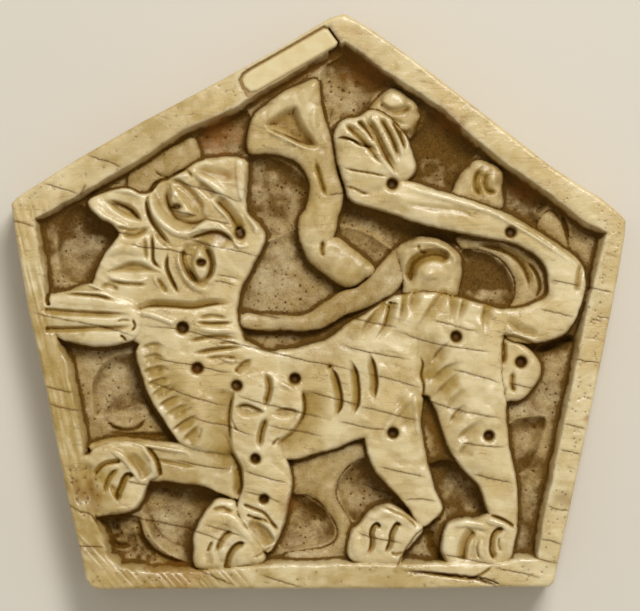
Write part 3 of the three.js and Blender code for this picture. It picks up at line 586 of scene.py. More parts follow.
cut([(-15.3, 5.9), (-15.5, 5), (-15.2, 3.9), (-14.6, 2.9), (-13.8, 2.1)], 0.75, 0.45, fade=(0.15, 0.3))
cut([(-13.1, 6.4), (-12.5, 5.3), (-12.2, 4.2), (-12.4, 3.2), (-12.9, 2.5)], 0.7, 0.3, lean=0.4)
swell_in([(-14.9, 7.6), (-14.2, 8.6), (-12.8, 9.4), (-11.2, 9.2), (-10, 8.3), (-9.4, 7), (-10.4, 7.5),
          (-11.6, 8), (-13, 7.9)], 0.35, 0.45)
cut([(-15, 7.1), (-13.6, 7.5), (-12.2, 7.9), (-11.1, 7.8), (-10.2, 7.2), (-9.5, 6.5)], 1.5, 0.42, lean=-0.7)
cut([(-11.8, 11.7), (-11, 11), (-10.1, 10), (-9.5, 9), (-9.1, 8.2)], 1.2, 0.46, lean=0.3, fade=(0.3, 0.02))
ridge([(-12, 11.3), (-11.2, 10.5), (-10.4, 9.7), (-10, 9)], 0.6, 0.22)
ridge([(-8.3, 10.2), (-7.6, 9.3), (-7.1, 8.4), (-7, 7.6)], 0.8, 0.22)
ridge([(-9.8, 6.8), (-9, 6.3), (-8.1, 6.3)], 0.5, 0.18)
cut([(-13.9, 15.1), (-12.6, 14.8), (-11.2, 14.5), (-9.7, 14)], 1.3, 0.22, belly=1.6)
ridge([(-14.2, 14.7), (-13, 13.9), (-11.9, 13.2), (-11, 12.4), (-10.4, 11.7)], 0.9, 0.28)
cut([(-13.8, 13.5), (-12.8, 12.7), (-11.8, 11.8)], 1.0, 0.22)
swell_in([(-9.6, 16), (-8.4, 16), (-8.3, 12), (-9.2, 11.8)], 0.2, 0.4)
cut([(-17, 14.2), (-15.9, 14.8), (-15.1, 15), (-14.5, 14.4), (-14.5, 13.9)], 0.35, 0.2)
ridge([(-16.6, 14.2), (-15.5, 14.4), (-14.7, 14.2)], 0.6, 0.15)
report("eyes, brows and jaw")

# %% Ears and neck hair
swell_in([(-24.5, 11.6), (-22.8, 11.6), (-21.2, 11.1), (-20.2, 10), (-20.1, 9), (-21.4, 9.2), (-22.8, 9.9),
          (-23.8, 10.6)], -0.6, 0.8)
swell_in([(-24.5, 3.2), (-23.2, 4.2), (-21.6, 4.8), (-20, 4.7), (-18.6, 3.9), (-17.8, 3.1), (-20, 3.1),
          (-22.4, 3.1)], -0.45, 0.8)
cut([(-23.9, 11.6), (-22.6, 11.1), (-21.4, 10.4), (-20.4, 9.4)], 0.5, 0.2)
ridge([(-24.4, 13.1), (-22.6, 12.9), (-21.2, 12.6), (-20, 12)], 0.9, 0.25)
ridge([(-25.8, 10.8), (-24.6, 9.6), (-23.2, 8.9), (-21.6, 8.3)], 0.9, 0.22)
ridge([(-24.4, 5.4), (-22.8, 6.1), (-21.2, 6), (-20, 5.5)], 1.2, 0.25)
ridge([(-24.2, 3), (-22.4, 2.5), (-20.8, 2.3), (-19.4, 2.6)], 0.6, 0.15)
cut([(-24.2, 2.4), (-22.6, 2.1), (-21, 2), (-19.6, 1.9)], 0.5, 0.2)
cut([(-24.8, 1.7), (-23.8, 1.9), (-22.8, 1.3)], 0.6, 0.2)
cut([(-22.4, 7.6), (-20.8, 7.6), (-19.4, 8.4)], 0.8, 0.3)
cut([(-23, 8.5), (-21.4, 8.1), (-20.3, 8.3)], 0.5, 0.2)
cut([(-19, 7.6), (-18.9, 6.2), (-18.8, 4.6), (-18, 3.8)], 0.45, 0.35)
cut([(-17.2, 5.4), (-17.3, 4), (-16.9, 2.8), (-16.4, 1.8), (-16, 1)], 0.5, 0.4)
cut([(-18.6, 7.8), (-17.9, 7), (-17.3, 6.2)], 0.6, 0.2)
cut([(-19.8, 7.2), (-19.7, 5.8), (-19.6, 4.8)], 0.5, 0.2)
cut([(-18.4, 2.6), (-17.8, 1.8), (-17.2, 1)], 0.6, 0.2)
ridge([(-18.8, 2.8), (-18.4, 2.2), (-18, 1.6)], 0.5, 0.18)
report("ears and neck")

# %% [markdown]
# ## Mane and chest
# One thick lock crosses the border on the left. The rest of the mane is only hinted at: a collar under the
# jaw, short strokes on the throat, and a fringe of wedge cuts down the edge of the chest.

# %% The lock, the collar and the fringe
cut([(-31.3, -0.9), (-29, -1.1), (-26, -1.3), (-23, -1.4), (-21.6, -1.5)], 0.8, 0.32, lean=-0.3,
    fade=(0.05, 0.4))
cut([(-31.1, -3.1), (-28.6, -3.1), (-26, -3), (-23.2, -3), (-21.4, -2.8)], 0.7, 0.32, lean=-0.2,
    fade=(0.02, 0.3))
cut([(-28.9, 1), (-27, 0.8), (-25, 0.6), (-23.2, 0.1)], 0.5, 0.3)
cut([(-30.7, 0.9), (-30.9, 0.2), (-30.7, -0.5)], 0.5, 0.5, fade=(0.1, 0.1))
cut([(-21.2, -2), (-20.9, -2.8), (-21.3, -3.4)], 0.35, 0.25)
cut([(-22.6, -3.8), (-22.1, -4.2), (-22, -4.6)], 0.35, 0.3)
cut([(-23, -2.3), (-22.2, -2.1), (-21.4, -2.2)], 0.3, 0.15)
ridge([(-30, 0.2), (-27, 0.2), (-24, -0.2), (-22, -0.5)], 1.0, 0.2)
ridge([(-30.5, -2.1), (-27, -2.1), (-23, -2.1)], 0.9, 0.15)
swell_in([(-29, 1.15), (-27.4, 2), (-26.2, 2.05), (-24.4, 1.2), (-26, 1)], -0.35, 0.4)
cut([(-20.8, -0.9), (-19, -0.5), (-16.6, -0.55), (-14.4, -0.7), (-12, -0.3), (-10.2, -0.2)], 0.9, 0.42,
    lean=0.5)
ridge([(-20.6, -1.2), (-19, -1.5), (-17.6, -2), (-16.4, -2.5)], 0.7, 0.25, fade=(0.2, 0.05))
ridge([(-13.8, -3.1), (-12, -3.25), (-10.4, -3.3), (-9.4, -3.5)], 0.7, 0.25)
cut([(-14, -2.4), (-12, -2.5), (-9.8, -2.4)], 0.45, 0.25)
cut([(-13.6, -1.9), (-12.2, -1.6), (-10.4, -1.9)], 0.5, 0.2)
cut([(-14.8, -4.5), (-12.8, -4.1), (-11.2, -4), (-9.4, -4.2)], 0.5, 0.26)
cut([(-14.2, -5.9), (-12, -5.5), (-10.4, -5.3), (-8.8, -5.2)], 0.55, 0.3)
cut([(-12.8, -6.5), (-11, -6.3), (-9.2, -6.5)], 0.45, 0.2)
ridge([(-11.2, -6.4), (-10, -6.7), (-9.2, -6.7)], 0.5, 0.18)
cut([(-11.4, -4.8), (-10.2, -4.7), (-9.2, -4.9)], 0.4, 0.2)
cut([(-7.6, -6.6), (-8.6, -7.1), (-9.5, -8)], 0.9, 0.26, lean=0.4, fade=(0.4, 0.1))
FRINGE = [
    ((-20.3, -5.2), (-18.8, -4.9), (-17.4, -5.1)), ((-20, -6.6), (-18.7, -6.3), (-17.6, -6.4)),
    ((-20, -8.1), (-18.6, -7.5), (-17.2, -7.5)), ((-19.6, -9.5), (-18, -8.9), (-16.9, -8.6)),
    ((-19.1, -10.7), (-17.8, -9.9), (-16.6, -9.4)), ((-18.4, -12.2), (-17, -11.2), (-15.6, -10.7)),
    ((-17.4, -13), (-16, -12.2), (-14.6, -11.7)), ((-16.6, -14.6), (-15.2, -13.6), (-14, -12.9)),
    ((-15.4, -15.8), (-14.4, -15), (-13.6, -14)),
]
for stroke in FRINGE:
    fur(stroke, 1.2, 0.24, lean=-0.6, fade=(0.35, 0.6))
for stroke in FRINGE[2::2]:
    (x0, y0), (x1, y1), (x2, y2) = stroke
    cut([(x0 + 1.5, y0 + 0.1), (x1 + 0.9, y1 - 0.2), (x2 + 0.3, y2 - 0.3)], 0.35, 0.12)
report("mane and chest")

# %% [markdown]
# ## Shoulder and forelegs
# The near foreleg lies over the body, so long leaned cuts lower the body on both sides of it. Two lens cuts
# and three upright ones draw its muscles.

# %% Shoulder and forelegs
cut([(-9.8, -10), (-10.1, -12), (-10.2, -14), (-10.1, -16.4), (-9.6, -17.8), (-9, -18.8)], 3.0, 0.24,
    lean=-0.75, fade=(0.1, 0.1), belly=1.1)
cut([(-9.7, -10.4), (-10.2, -12.8), (-10.1, -15.6)], 0.4, 0.2)
cut([(-1.75, -10), (-1.5, -11.5), (-1.6, -12.9), (-2.3, -14.2), (-3.5, -15.4), (-5, -16.3)], 2.4, 0.3,
    lean=0.7, fade=(0.15, 0.2), belly=1.1)
cut([(-1.8, -10.2), (-1.6, -12.4), (-2.2, -14)], 0.4, 0.2)
cut([(-6.1, -8.2), (-5.7, -9), (-5.6, -10), (-5.9, -11.3), (-6, -12)], 0.9, 0.42)
cut([(-5.9, -13.3), (-6.3, -14.2), (-6.6, -15.3), (-6.7, -16.6)], 0.9, 0.42)
swell_in([(-9.7, -12), (-8.6, -11.2), (-7.3, -11.6), (-6, -12.6), (-7.2, -13.3), (-8.8, -13.3)], -0.42, 0.9)
swell_in([(-5.4, -12.8), (-4.4, -12.1), (-3.2, -12), (-2, -12.8), (-3.2, -13.4), (-4.6, -13.4)], -0.4, 0.9)
cut([(-9.4, -12), (-8.2, -11.8), (-7, -12.2), (-6.2, -12.6)], 0.5, 0.2, lean=-0.4)
cut([(-5, -12.5), (-4, -12.3), (-3, -12.4), (-2.2, -12.7)], 0.5, 0.2)
cut([(-4.4, -15.5), (-5, -16), (-5.3, -16.4)], 0.4, 0.2)
ridge([(-4.6, -9.2), (-3.6, -9.6), (-2.8, -10.2)], 0.5, 0.15)
cut([(-10, -13.2), (-9.6, -14.2), (-9.2, -14.8)], 0.35, 0.15)
# far foreleg: where it comes out from under the chest, and its long light cut
cut([(-15.9, -16.2), (-17.2, -14.6), (-18.6, -12.8), (-19.6, -11)], 0.8, 0.3, lean=0.5)
cut([(-26, -16.6), (-24.6, -15.8), (-22, -15.6), (-19.6, -16)], 0.5, 0.2)
cut([(-18.6, -18), (-17, -18.3), (-15.6, -18.6), (-14.2, -18.9)], 0.5, 0.15)
cut([(-24, -14.9), (-21.6, -15.2), (-19.4, -15.3), (-17.2, -15.2)], 0.7, 0.25)
ridge([(-21.4, -16.1), (-19, -16.5), (-16.8, -16.9), (-15.2, -17.2), (-14.6, -17.8)], 0.5, 0.18)
cut([(-9.1, -18.2), (-8.9, -19.6), (-8.9, -21), (-9.4, -22.4)], 1.1, 0.4, lean=-0.4)
report("shoulder and forelegs")

# %% [markdown]
# ## Paws
# Each paw is a cuff, a rounded back of the foot with a bright crest, and toes parted by deep short cuts that
# start with a hook.

# %% The raised paw
cut([(-19.6, -16.6), (-18.8, -17.5), (-18.3, -18.5), (-18, -19.9)], 0.5, 0.3, fade=(0.2, 0.1))
ridge([(-20.1, -16.5), (-19, -17.8), (-18.5, -19.7)], 0.8, 0.2)
cut([(-21.8, -17.4), (-20.3, -18.8), (-19.5, -20.1)], 1.4, 0.26, fade=(0.35, 0.15), belly=2)
ridge([(-23.8, -16.8), (-22.2, -17.8), (-21.1, -19.1), (-20.4, -20.4)], 0.7, 0.3)
cut([(-25.5, -19.9), (-25, -19.1), (-24.2, -18.5), (-22.5, -18.2)], 0.6, 0.32, lean=0.3, fade=(0.2, 0.1))
cut([(-22.8, -19.1), (-23.5, -19.5), (-24.1, -20.4), (-24.4, -21.8)], 0.6, 0.3, lean=0.3)
cut([(-21, -19.8), (-21.8, -19.7), (-22.3, -20.3), (-22.6, -21.1), (-22.9, -21.8), (-22.9, -22.8)], 0.75,
    0.46, lean=0.35, fade=(0.15, 0.25), belly=1.7)
cut([(-23.7, -20.8), (-23.2, -21.8), (-22.9, -22.6)], 0.6, 0.16)
ridge([(-23.8, -23.7), (-21.8, -23.8), (-20.5, -22.9), (-19.9, -21.6)], 0.9, 0.14)
swell_in([(-27.4, -18.4), (-25.6, -18.2), (-25, -20), (-25.4, -22.6), (-27.8, -22.8)], -0.2, 1.0)
report("raised paw")

# %% The near fore paw and its fetlock
cut([(-8.6, -23.1), (-7.6, -23.5), (-6.2, -24.1), (-5.4, -25.1), (-4.5, -26.1)], 0.45, 0.26, fade=(0.1, 0.2))
cut([(-8.2, -24.3), (-7.1, -24.7), (-6, -25), (-5.6, -25.4)], 0.4, 0.24, fade=(0.1, 0.3))
cut([(-7.9, -24.9), (-6.8, -25.7), (-6, -26.8), (-5.6, -27.8)], 1.5, 0.3, fade=(0.2, 0.1), belly=2)
ridge([(-7, -24.9), (-5.7, -25.6), (-5.1, -26.4), (-4.9, -27.2)], 0.7, 0.24)
cut([(-12.2, -23.7), (-10.9, -23.5), (-10.3, -23.8), (-9.6, -23.9)], 0.5, 0.22)
ridge([(-12.9, -24.7), (-11.4, -24.5), (-9.6, -25), (-8.7, -25.6), (-7.9, -26.5), (-7.2, -27.6)], 1.2, 0.24)
cut([(-9.9, -26.2), (-10.6, -26.5), (-11.2, -27.3), (-11.7, -28.5)], 0.75, 0.38, lean=0.3, fade=(0.2, 0.35))
cut([(-9.9, -25.9), (-11, -26), (-12.2, -26.5)], 1.1, 0.12)
cut([(-12.1, -27.3), (-12.4, -27.8), (-12.7, -28.6)], 0.45, 0.24, lean=0.3)
cut([(-8.4, -27.5), (-9.2, -27.6), (-9.9, -28.2), (-10.3, -29), (-10.5, -29.8), (-10.7, -30.4)], 0.8, 0.46,
    lean=0.4, fade=(0.15, 0.1))
ridge([(-11.2, -27.9), (-10.9, -28.7), (-11, -29.6)], 0.8, 0.14)
cut([(-12.8, -28.6), (-12.4, -29.2), (-12.4, -30)], 0.8, 0.14, belly=2)
cut([(-7.5, -29.2), (-6.8, -28.9), (-6, -28.4), (-5.3, -27.9)], 0.35, 0.16)
report("near fore paw")

# %% The hind paws
cut([(7.1, -25.8), (6.7, -25.3), (6.2, -25.6), (5.9, -26.4), (6.0, -27.2), (5.9, -28), (5.6, -28.7)], 0.65,
    0.42, lean=0.45, fade=(0.12, 0.3), belly=1.7)
cut([(9.4, -25.5), (8.9, -25.3), (8.5, -25.8), (8.2, -26.5), (8.1, -27.3), (7.9, -27.9), (7.6, -28.6)], 0.7,
    0.42, lean=0.45, fade=(0.12, 0.25), belly=1.7)
cut([(8.2, -28.5), (8.8, -28.8), (9.7, -28.6)], 0.45, 0.2)
ridge([(5.8, -24.7), (7.8, -23.9), (9.4, -24.6), (10.7, -25.7)], 1.0, 0.22)
ridge([(4.5, -26.6), (4.4, -28), (4.7, -29.2)], 1.1, 0.14)
ridge([(7.2, -26.4), (7.1, -27.6), (7, -28.6)], 0.8, 0.1)
cut([(7.3, -23.2), (8.6, -23.9), (9.8, -24.4), (10.7, -25.2), (11.2, -25.9)], 0.4, 0.22)
cut([(8.4, -23), (9.4, -23.6), (10.4, -24.4), (11.2, -25.2)], 0.35, 0.18)
cut([(17.8, -26.15), (17.15, -26.8), (16.75, -27.6), (16.6, -28.5), (16.5, -29.4)], 1.2, 0.42, lean=-0.25,
    fade=(0.15, 0.1), belly=1.5)
swell_in([(17.3, -27.1), (17.9, -26.8), (18.1, -28), (18.1, -29.4), (16.9, -29.4)], -0.14, 0.5)
cut([(18.3, -27.2), (18.05, -28.2), (18.3, -29.3)], 0.35, 0.16)
cut([(20.6, -26.8), (20.5, -27.6), (20.8, -28.5)], 0.35, 0.16)
cut([(21.1, -25.9), (20.5, -25.9), (20, -26.3), (19.7, -26.9), (19.6, -27.7), (19.6, -28.5), (20, -29.4)],
    0.75, 0.4, lean=0.45, fade=(0.12, 0.15), belly=1.5)
ridge([(15.4, -25.5), (16.6, -25.2), (17.8, -25.3), (19.3, -25.8)], 0.9, 0.3)
ridge([(18.9, -24.8), (20, -25.1), (21.2, -25.5), (21.9, -26.2)], 0.8, 0.2)
ridge([(18.6, -27.1), (18.4, -28.3), (18.9, -29.3)], 0.7, 0.16)
cut([(19.4, -24.3), (20.7, -24.7), (21.8, -25.3), (22.5, -25.9)], 0.4, 0.26)
ridge([(15, -26.6), (14.8, -28), (15.2, -29.2)], 1.3, 0.12)
cut([(12.7, -26), (12.7, -27.2), (13, -28.2), (13.7, -29.1), (14.6, -29.8)], 1.1, 0.4, fade=(0.2, 0.3))
cut([(12.7, -31.1), (14.5, -31.2), (16.2, -31.45), (17.2, -31.55), (18.2, -31.25), (19.1, -30.7),
     (19.7, -30.2)], 0.4, 0.2, fade=(0.3, 0.1))
report("hind paws")

# %% [markdown]
# ## Back, ribs and haunches
# Three crescents stand for ribs. Along the back and on the near haunch the same wedge stroke, long and
# leaned, stands for fur. The strokes of the back run off the lion's edge, so what they do below it is undone
# again.

# %% Ribs and fur
for rib in (
    [(1.3, -7.5), (2, -8.4), (2.4, -9.8), (2.6, -11), (2.5, -12.1), (2, -13)],
    [(3.8, -6.9), (4.3, -8), (4.5, -9.2), (4.6, -10.5), (4.5, -11.7), (4, -12.8)],
    [(5.9, -6.1), (6.3, -7.1), (6.5, -8.2), (6.6, -9.4), (6.4, -11.1)],
):
    cut(rib, 0.95, 0.5, lean=-0.5, fade=(0.35, 0.3), belly=1.3)
ON_LION = 6.75  # whatever stood higher than this belongs to the lion
before, lines_before = height.copy(), line_mark.copy()
for stroke in (
    [(7.6, -0.1), (5.8, -2.6), (5, -3.9)], [(8.4, 0.1), (7.6, -2.7), (6.6, -4.2)],
    [(9.7, 1), (9.4, -1.4), (8.8, -2.8)], [(10.9, 1.4), (10.6, -0.4), (10.4, -1.4)],
    [(14.5, 1.4), (12.5, -1.5), (11.3, -3)], [(15.4, 1.2), (15.3, -0.8), (15.2, -2.1)],
    [(16.8, 0.7), (16.3, -1.2), (15.9, -2.4)], [(19.1, 0), (19, -1.8), (18.9, -3)],
):
    fur(stroke, 1.1, 0.36, lean=0.4, fade=(0.01, 0.8))
height = np.where(before > ON_LION, height, before)
line_mark = np.where(before > ON_LION, line_mark, lines_before)
lines_before = line_mark.copy()
for stroke in (
    [(15.2, -4.6), (13.9, -5.6), (12.9, -6.8)], [(15.8, -6.7), (14.4, -7.6), (13, -9)],
    [(16, -8.2), (14.6, -9.2), (13.2, -10.6)], [(16.8, -10.1), (15.6, -11.2), (14.4, -12.6)],
    [(16.6, -11.8), (15.6, -12.8), (14.8, -13.8)], [(18.6, -13.4), (17.2, -14.5), (15.7, -15.9)],
    [(17.8, -15.8), (16.8, -16.7), (16.1, -17.6)],
):
    fur(stroke, 1.5, 0.3, lean=0.55, fade=(0.8, 0.4), yellow=2.2)
line_mark = (line_mark + lines_before) / 2  # the strokes on the haunch hold less dirt
cut([(13.1, -3.6), (12.8, -5.4), (12.5, -7.2), (12.3, -9.4)], 2.6, 0.22, fade=(0.5, 0.2), belly=1.6)
cut([(11.6, -6.3), (11.9, -7.2), (11.7, -8.4), (12, -9.6), (11.9, -11)], 0.35, 0.3, fade=(0.3, 0.05))
# facets that meet in a point above the left hind leg
ridge([(7.2, -15.2), (8.8, -12.8), (10.9, -10.4)], 0.8, 0.17)
ridge([(11, -10.6), (11.2, -13), (11.5, -15.4)], 0.7, 0.15)
cut([(9.9, -10.6), (9.7, -12.4), (10.2, -14.8)], 1.6, 0.14, belly=2, yellow=2.5)
cut([(10.9, -2), (11.4, -4.4), (11.2, -7)], 1.6, 0.14, belly=2, yellow=2.5)
# the near haunch bulges over the valley between the two legs
swell_in([(14.6, -4.6), (13.4, -7.4), (12.8, -9.6), (13.2, -11.6), (14.4, -14.4), (15.2, -17), (18, -20.2),
          (21, -20), (21.6, -14), (20.8, -8), (20.4, -2.4), (17.6, -1.4)], 0.2, 1.8)
report("ribs, back and haunches")

# %% [markdown]
# ## Tail, tuft and leaves
# The tail rises from a lobe beside the rump, curls over the back and ends in a tuft of long leaves. Their
# parting lines sweep together towards a ball.

# %% Tuft
for line, width in (
    ([(5.4, 20.6), (6.2, 19.6), (7, 18), (7.9, 16.2), (8.7, 14.8)], 1.1),
    ([(7, 20.9), (7.8, 19.6), (8.5, 18.2), (9.1, 16.4)], 0.9),
    ([(3, 20.2), (4.4, 18.9), (5.8, 17.4), (7, 15.8)], 0.8),
    ([(8.4, 20.6), (9.3, 18.9), (9.9, 17.2)], 0.6),
    ([(4.4, 20.6), (5.6, 19.4), (6.4, 18.2)], 0.6),
):
    cut(line, width, 0.45, lean=0.3, fade=(0.2, 0.4))
for line in (
    [(3.9, 19.6), (5.1, 18.5), (6.2, 17.8)], [(6, 21), (7, 19.4), (8, 17.4), (8.8, 15.8)],
    [(7.6, 20.8), (8.6, 18.9), (9.6, 16.6)], [(5.6, 17.4), (7, 16.4), (8.2, 15), (8.6, 14.4)],
):
    ridge(line, 0.6, 0.22)
cut([(2, 18.5), (2.8, 18.7), (3.8, 18.4), (4.8, 17.8), (6, 17.6)], 0.3, 0.3)
cut([(3, 13.1), (4, 12.9), (5, 12.4), (5.8, 12.3)], 0.35, 0.2)
cut([(2.8, 15.2), (4.2, 14.9), (6, 14.6), (7.8, 14.2)], 0.3, 0.2)
# ball and the leaf beside it
swell_in([(7.0, 23.2), (7.9, 24.2), (9.3, 24.1), (10.1, 23.2), (9.9, 22.2), (8.6, 21.9), (7.4, 22.2)], 0.26,
    0.55)
cut([(7.1, 22.7), (7.7, 21.9), (8.7, 21.6), (9.8, 21.8), (10.8, 22.4)], 0.8, 0.17, fade=(0.1, 0.2))
cut([(6.6, 21.8), (7.8, 21.2), (9, 20.6), (10, 20.2)], 0.45, 0.12)
report("tuft")

# %% Tail
cut([(10, 11.2), (13, 10.7), (16, 10.4), (17.8, 9.6)], 0.8, 0.13)
cut([(19.4, 10.7), (22, 9.5), (24.8, 7.9), (27.4, 6.2), (29.4, 4.6), (30.1, 3)], 1.5, 0.15, lean=0.5)
cut([(20.6, 9.8), (23, 8.6), (25.4, 7.1), (27.6, 5.4)], 0.3, 0.08)
cut([(22, 9.1), (24.4, 7.8), (26.6, 6.3), (28.4, 4.9), (29.3, 3.7)], 0.3, 0.08)
cut([(30, 4.4), (29.6, 2.6), (29.4, 1)], 0.8, 0.25)
ridge([(10.4, 12.9), (13.6, 12.1), (17.2, 11.1), (20.4, 10), (24, 8), (27.2, 5.9), (29, 4.4)], 0.9, 0.2)
cut([(23.4, 8.6), (25.6, 7.4), (27.8, 5.9)], 0.35, 0.1)
cut([(21.4, -1.9), (22.4, -3), (23.6, -3.6), (25, -3.9)], 1.2, 0.2, lean=0.4)
cut([(20.6, -4), (22.2, -4), (24, -4.6), (25.4, -5.4)], 0.9, 0.32, lean=-0.4)
cut([(21.1, -4.4), (21.2, -5.9), (21.1, -7.2)], 0.7, 0.3)
cut([(24.9, -5.7), (26.9, -4.9), (29, -4.2)], 0.8, 0.8, fade=(0.3, 0.02))
cut([(22.2, -8), (22.1, -9.4), (22.4, -10.4)], 0.7, 0.3)
report("tail")

# %% Vines
swell_in([(-6.3, 20.1), (-4.9, 21.6), (-2.5, 22.7), (-1.5, 20.6), (0.2, 17.8), (-1.6, 17.3), (-4.2, 18.8)],
    -0.7, 1.2)
cut([(-5.8, 19.9), (-4.6, 19.3), (-3, 18.6), (-1.6, 17.8)], 0.5, 0.15)
ridge([(-5.9, 19.5), (-4.2, 18.8), (-2.4, 18), (-0.7, 17.3)], 0.6, 0.2)
ridge([(-0.4, 22), (-0.6, 20.8), (-0.4, 19.4)], 0.7, 0.15)
cut([(-0.4, 16.2), (0, 14.8), (0.4, 13.4), (0.9, 11.9)], 0.6, 0.25)
cut([(0.2, 23.2), (0.7, 21.8), (1, 20.3)], 0.5, 0.25)
cut([(0.5, 6.9), (0.4, 5.9), (0.6, 5.1)], 0.6, 0.25)
cut([(10.5, 2.2), (10.6, 3.7), (11.4, 4.8), (12.6, 5.3), (13.8, 5.3), (15, 4.8)], 1.3, 0.6,
    fade=(0.2, 0.15), belly=1.8)
swell_in([(11, 3.1), (11.5, 4.1), (12.6, 4.5), (13.8, 4.1), (14.5, 3), (14.2, 1.9), (13, 1.3), (11.6, 1.7)],
    0.3, 1.8, rubbed=0.5)
ridge([(11.3, 2), (11.8, 3.1), (12.9, 3.6), (14, 3.2), (14.3, 2.2)], 1.8, 0.2, fade=(0.4, 0.4))
ridge([(9.6, 6.3), (11.6, 6.8), (13.6, 6.6), (15.2, 5.6), (15.8, 4)], 0.8, 0.2)
cut([(11.4, 6.6), (11.6, 5.8), (12.4, 5.5)], 0.4, 0.15)
cut([(18.6, 15.2), (18, 14.2), (18, 13), (18.6, 12)], 1.0, 0.36, lean=0.3, belly=1.7)
cut([(19.3, 14.8), (18.9, 13.7), (19.3, 12.7), (20.4, 12.5)], 0.7, 0.3, belly=1.7)
swell_in([(19.3, 14.6), (20.4, 14.5), (20.8, 13.5), (20.1, 12.8), (19.3, 13.3)], 0.2, 0.9)
cut([(27.8, 10), (28.3, 8.6), (28.5, 7)], 0.5, 0.3)
cut([(-18.8, 15), (-18, 14.4), (-17.1, 14.2)], 0.3, 0.12)
swell_in([(-24.2, -13.5), (-22.8, -13), (-21.2, -12.7), (-19.6, -12.9), (-20.4, -14), (-22.2, -14.5)],
    -0.12, 0.8)
cut([(-24, -13.9), (-23.4, -14.4), (-22.2, -14.7), (-20.8, -14.5), (-19.8, -13.5)], 0.5, 0.2)
cut([(23.8, 4.6), (24.9, 3.2), (25.3, 1.6), (24.8, 0.4)], 0.5, 0.25)
cut([(-20.5, -24.9), (-20.1, -26.9), (-18.7, -28.6), (-16.6, -29.6), (-14.6, -30)], 0.8, 0.4, lean=-0.4)
ridge([(-20, -24.3), (-19.3, -26.4), (-17.5, -28.1), (-15, -29.1)], 1.3, 0.28, fade=(0.15, 0.15))
cut([(-24, -27.4), (-22.9, -28.1), (-21.5, -28)], 0.7, 0.35, lean=0.4)
swell_in([(-23.6, -28), (-22.4, -28.6), (-20.4, -28.2), (-20.8, -29.6), (-22.6, -29.8)], 0.35, 0.6)
swell_in([(-23.2, -25), (-21, -25), (-20.8, -26.8), (-22.6, -27.2)], 0.2, 0.6)
cut([(18.4, 6.4), (20.6, 6), (22.6, 4.9), (23.8, 3.2), (24.2, 1.4)], 0.9, 0.35, lean=0.3)
report("vines")

# %% [markdown]
# ## Drilled holes
# A bow drill left round blind holes, a little funnelled, scattered over the lion as spots. Two smaller ones
# are the pupils and one runs into the nostril. These three aren't quite round.

# %% Drill
bore_mark = np.zeros(X.shape)


def drill(x, y, radius, depth=1.0, stretch=(1.0, 1.0)):
    here = patch(np.array([(x, y)]), 2 * radius + 0.5)
    gap = np.hypot((X[here] - x) / stretch[0], (Y[here] - y) / stretch[1]) + 0.4 * wobble[here]
    bore, funnel = ease((radius + 0.12 - gap) / 0.4), ease((radius + 0.5 - gap) / 0.5)
    height[here] -= depth * bore + 0.1 * funnel
    mark(bore_mark, here, bore)
    mark(patina_mark, here, 0.7 * funnel)


HOLES = [
    (-15.5, -3, 0.72), (-13.8, -7.6, 0.7), (-9.3, -9.6, 0.66), (-2.7, -8.8, 0.66), (-7.2, -17.9, 0.6),
    (-6.2, -22.5, 0.58), (8.5, -15, 0.68), (15.7, -4, 0.68), (19.4, -15.3, 0.64), (23.1, -6.9, 0.68),
    (21.9, 7.9, 0.68), (8.4, 13.4, 0.68),
    # the two pupils, the nostril, and a pinprick where the first rib starts
    (-13.35, 4.45, 0.5, 0.9, (1.25, 0.9)), (-16.2, 10.8, 0.45, 0.7, (1.3, 0.85)),
    (-8.95, 7.8, 0.65, 0.8, (1.0, 1.2)), (1.3, -7.4, 0.25, 0.5),
]
for hole in HOLES:
    drill(*hole)
print(len(HOLES), "holes")

# %% [markdown]
# ## Scraping, filing and handling
# The flat parts were scraped and filed. A file leaves many fine parallel scores: long thin waves, stretched
# hard in one direction, do the same. They are strong only on the left and lower borders, where they turn
# from upright to slanting towards the foot.


# %% File scores on the border
def zone(points, soft=1.0):
    """1 inside an outline and 0 outside, with a soft step this wide between."""
    return ease(0.5 + inward(np.array(points, float), WHOLE) / soft)


on_border = ease(1 - within / 0.4) * (rim > 0)
on_top = ease((height - 6.6) / 0.6)  # the tops of figures and border
FILED = [(-36, 12.5), (-29, 10.5), (-27, -12), (-25, -24), (-21, -30), (-8, -30.4), (-8, -34), (-36, -34)]
left_side = zone(FILED, 2)
at_foot = ease((-24 - Y) / 4)
upright = waves(0.24, stretch=14, turn=-76) + 0.5 * waves(0.5, stretch=9, turn=-70)
slanting = waves(0.24, stretch=14, turn=-48) + 0.5 * waves(0.5, stretch=9, turn=-44)
scores = upright * (1 - at_foot) + slanting * at_foot
height += 0.07 * scores * on_border * left_side
mark(patina_mark, WHOLE, 0.35 * ease(0.1 - 2 * scores) * on_border * left_side)
cross_scores = waves(0.3, stretch=12, turn=28)
height += 0.025 * cross_scores * on_border * (1 - left_side)
print("filed:", int((on_border * left_side > 0.5).sum()), "points")

# %% [markdown]
# The knife left shallow facets with faint ridges between them on the figures, and the scraper long dents in
# which patina gathers. Ground and vines were never finished as finely as the lion and stay rough.

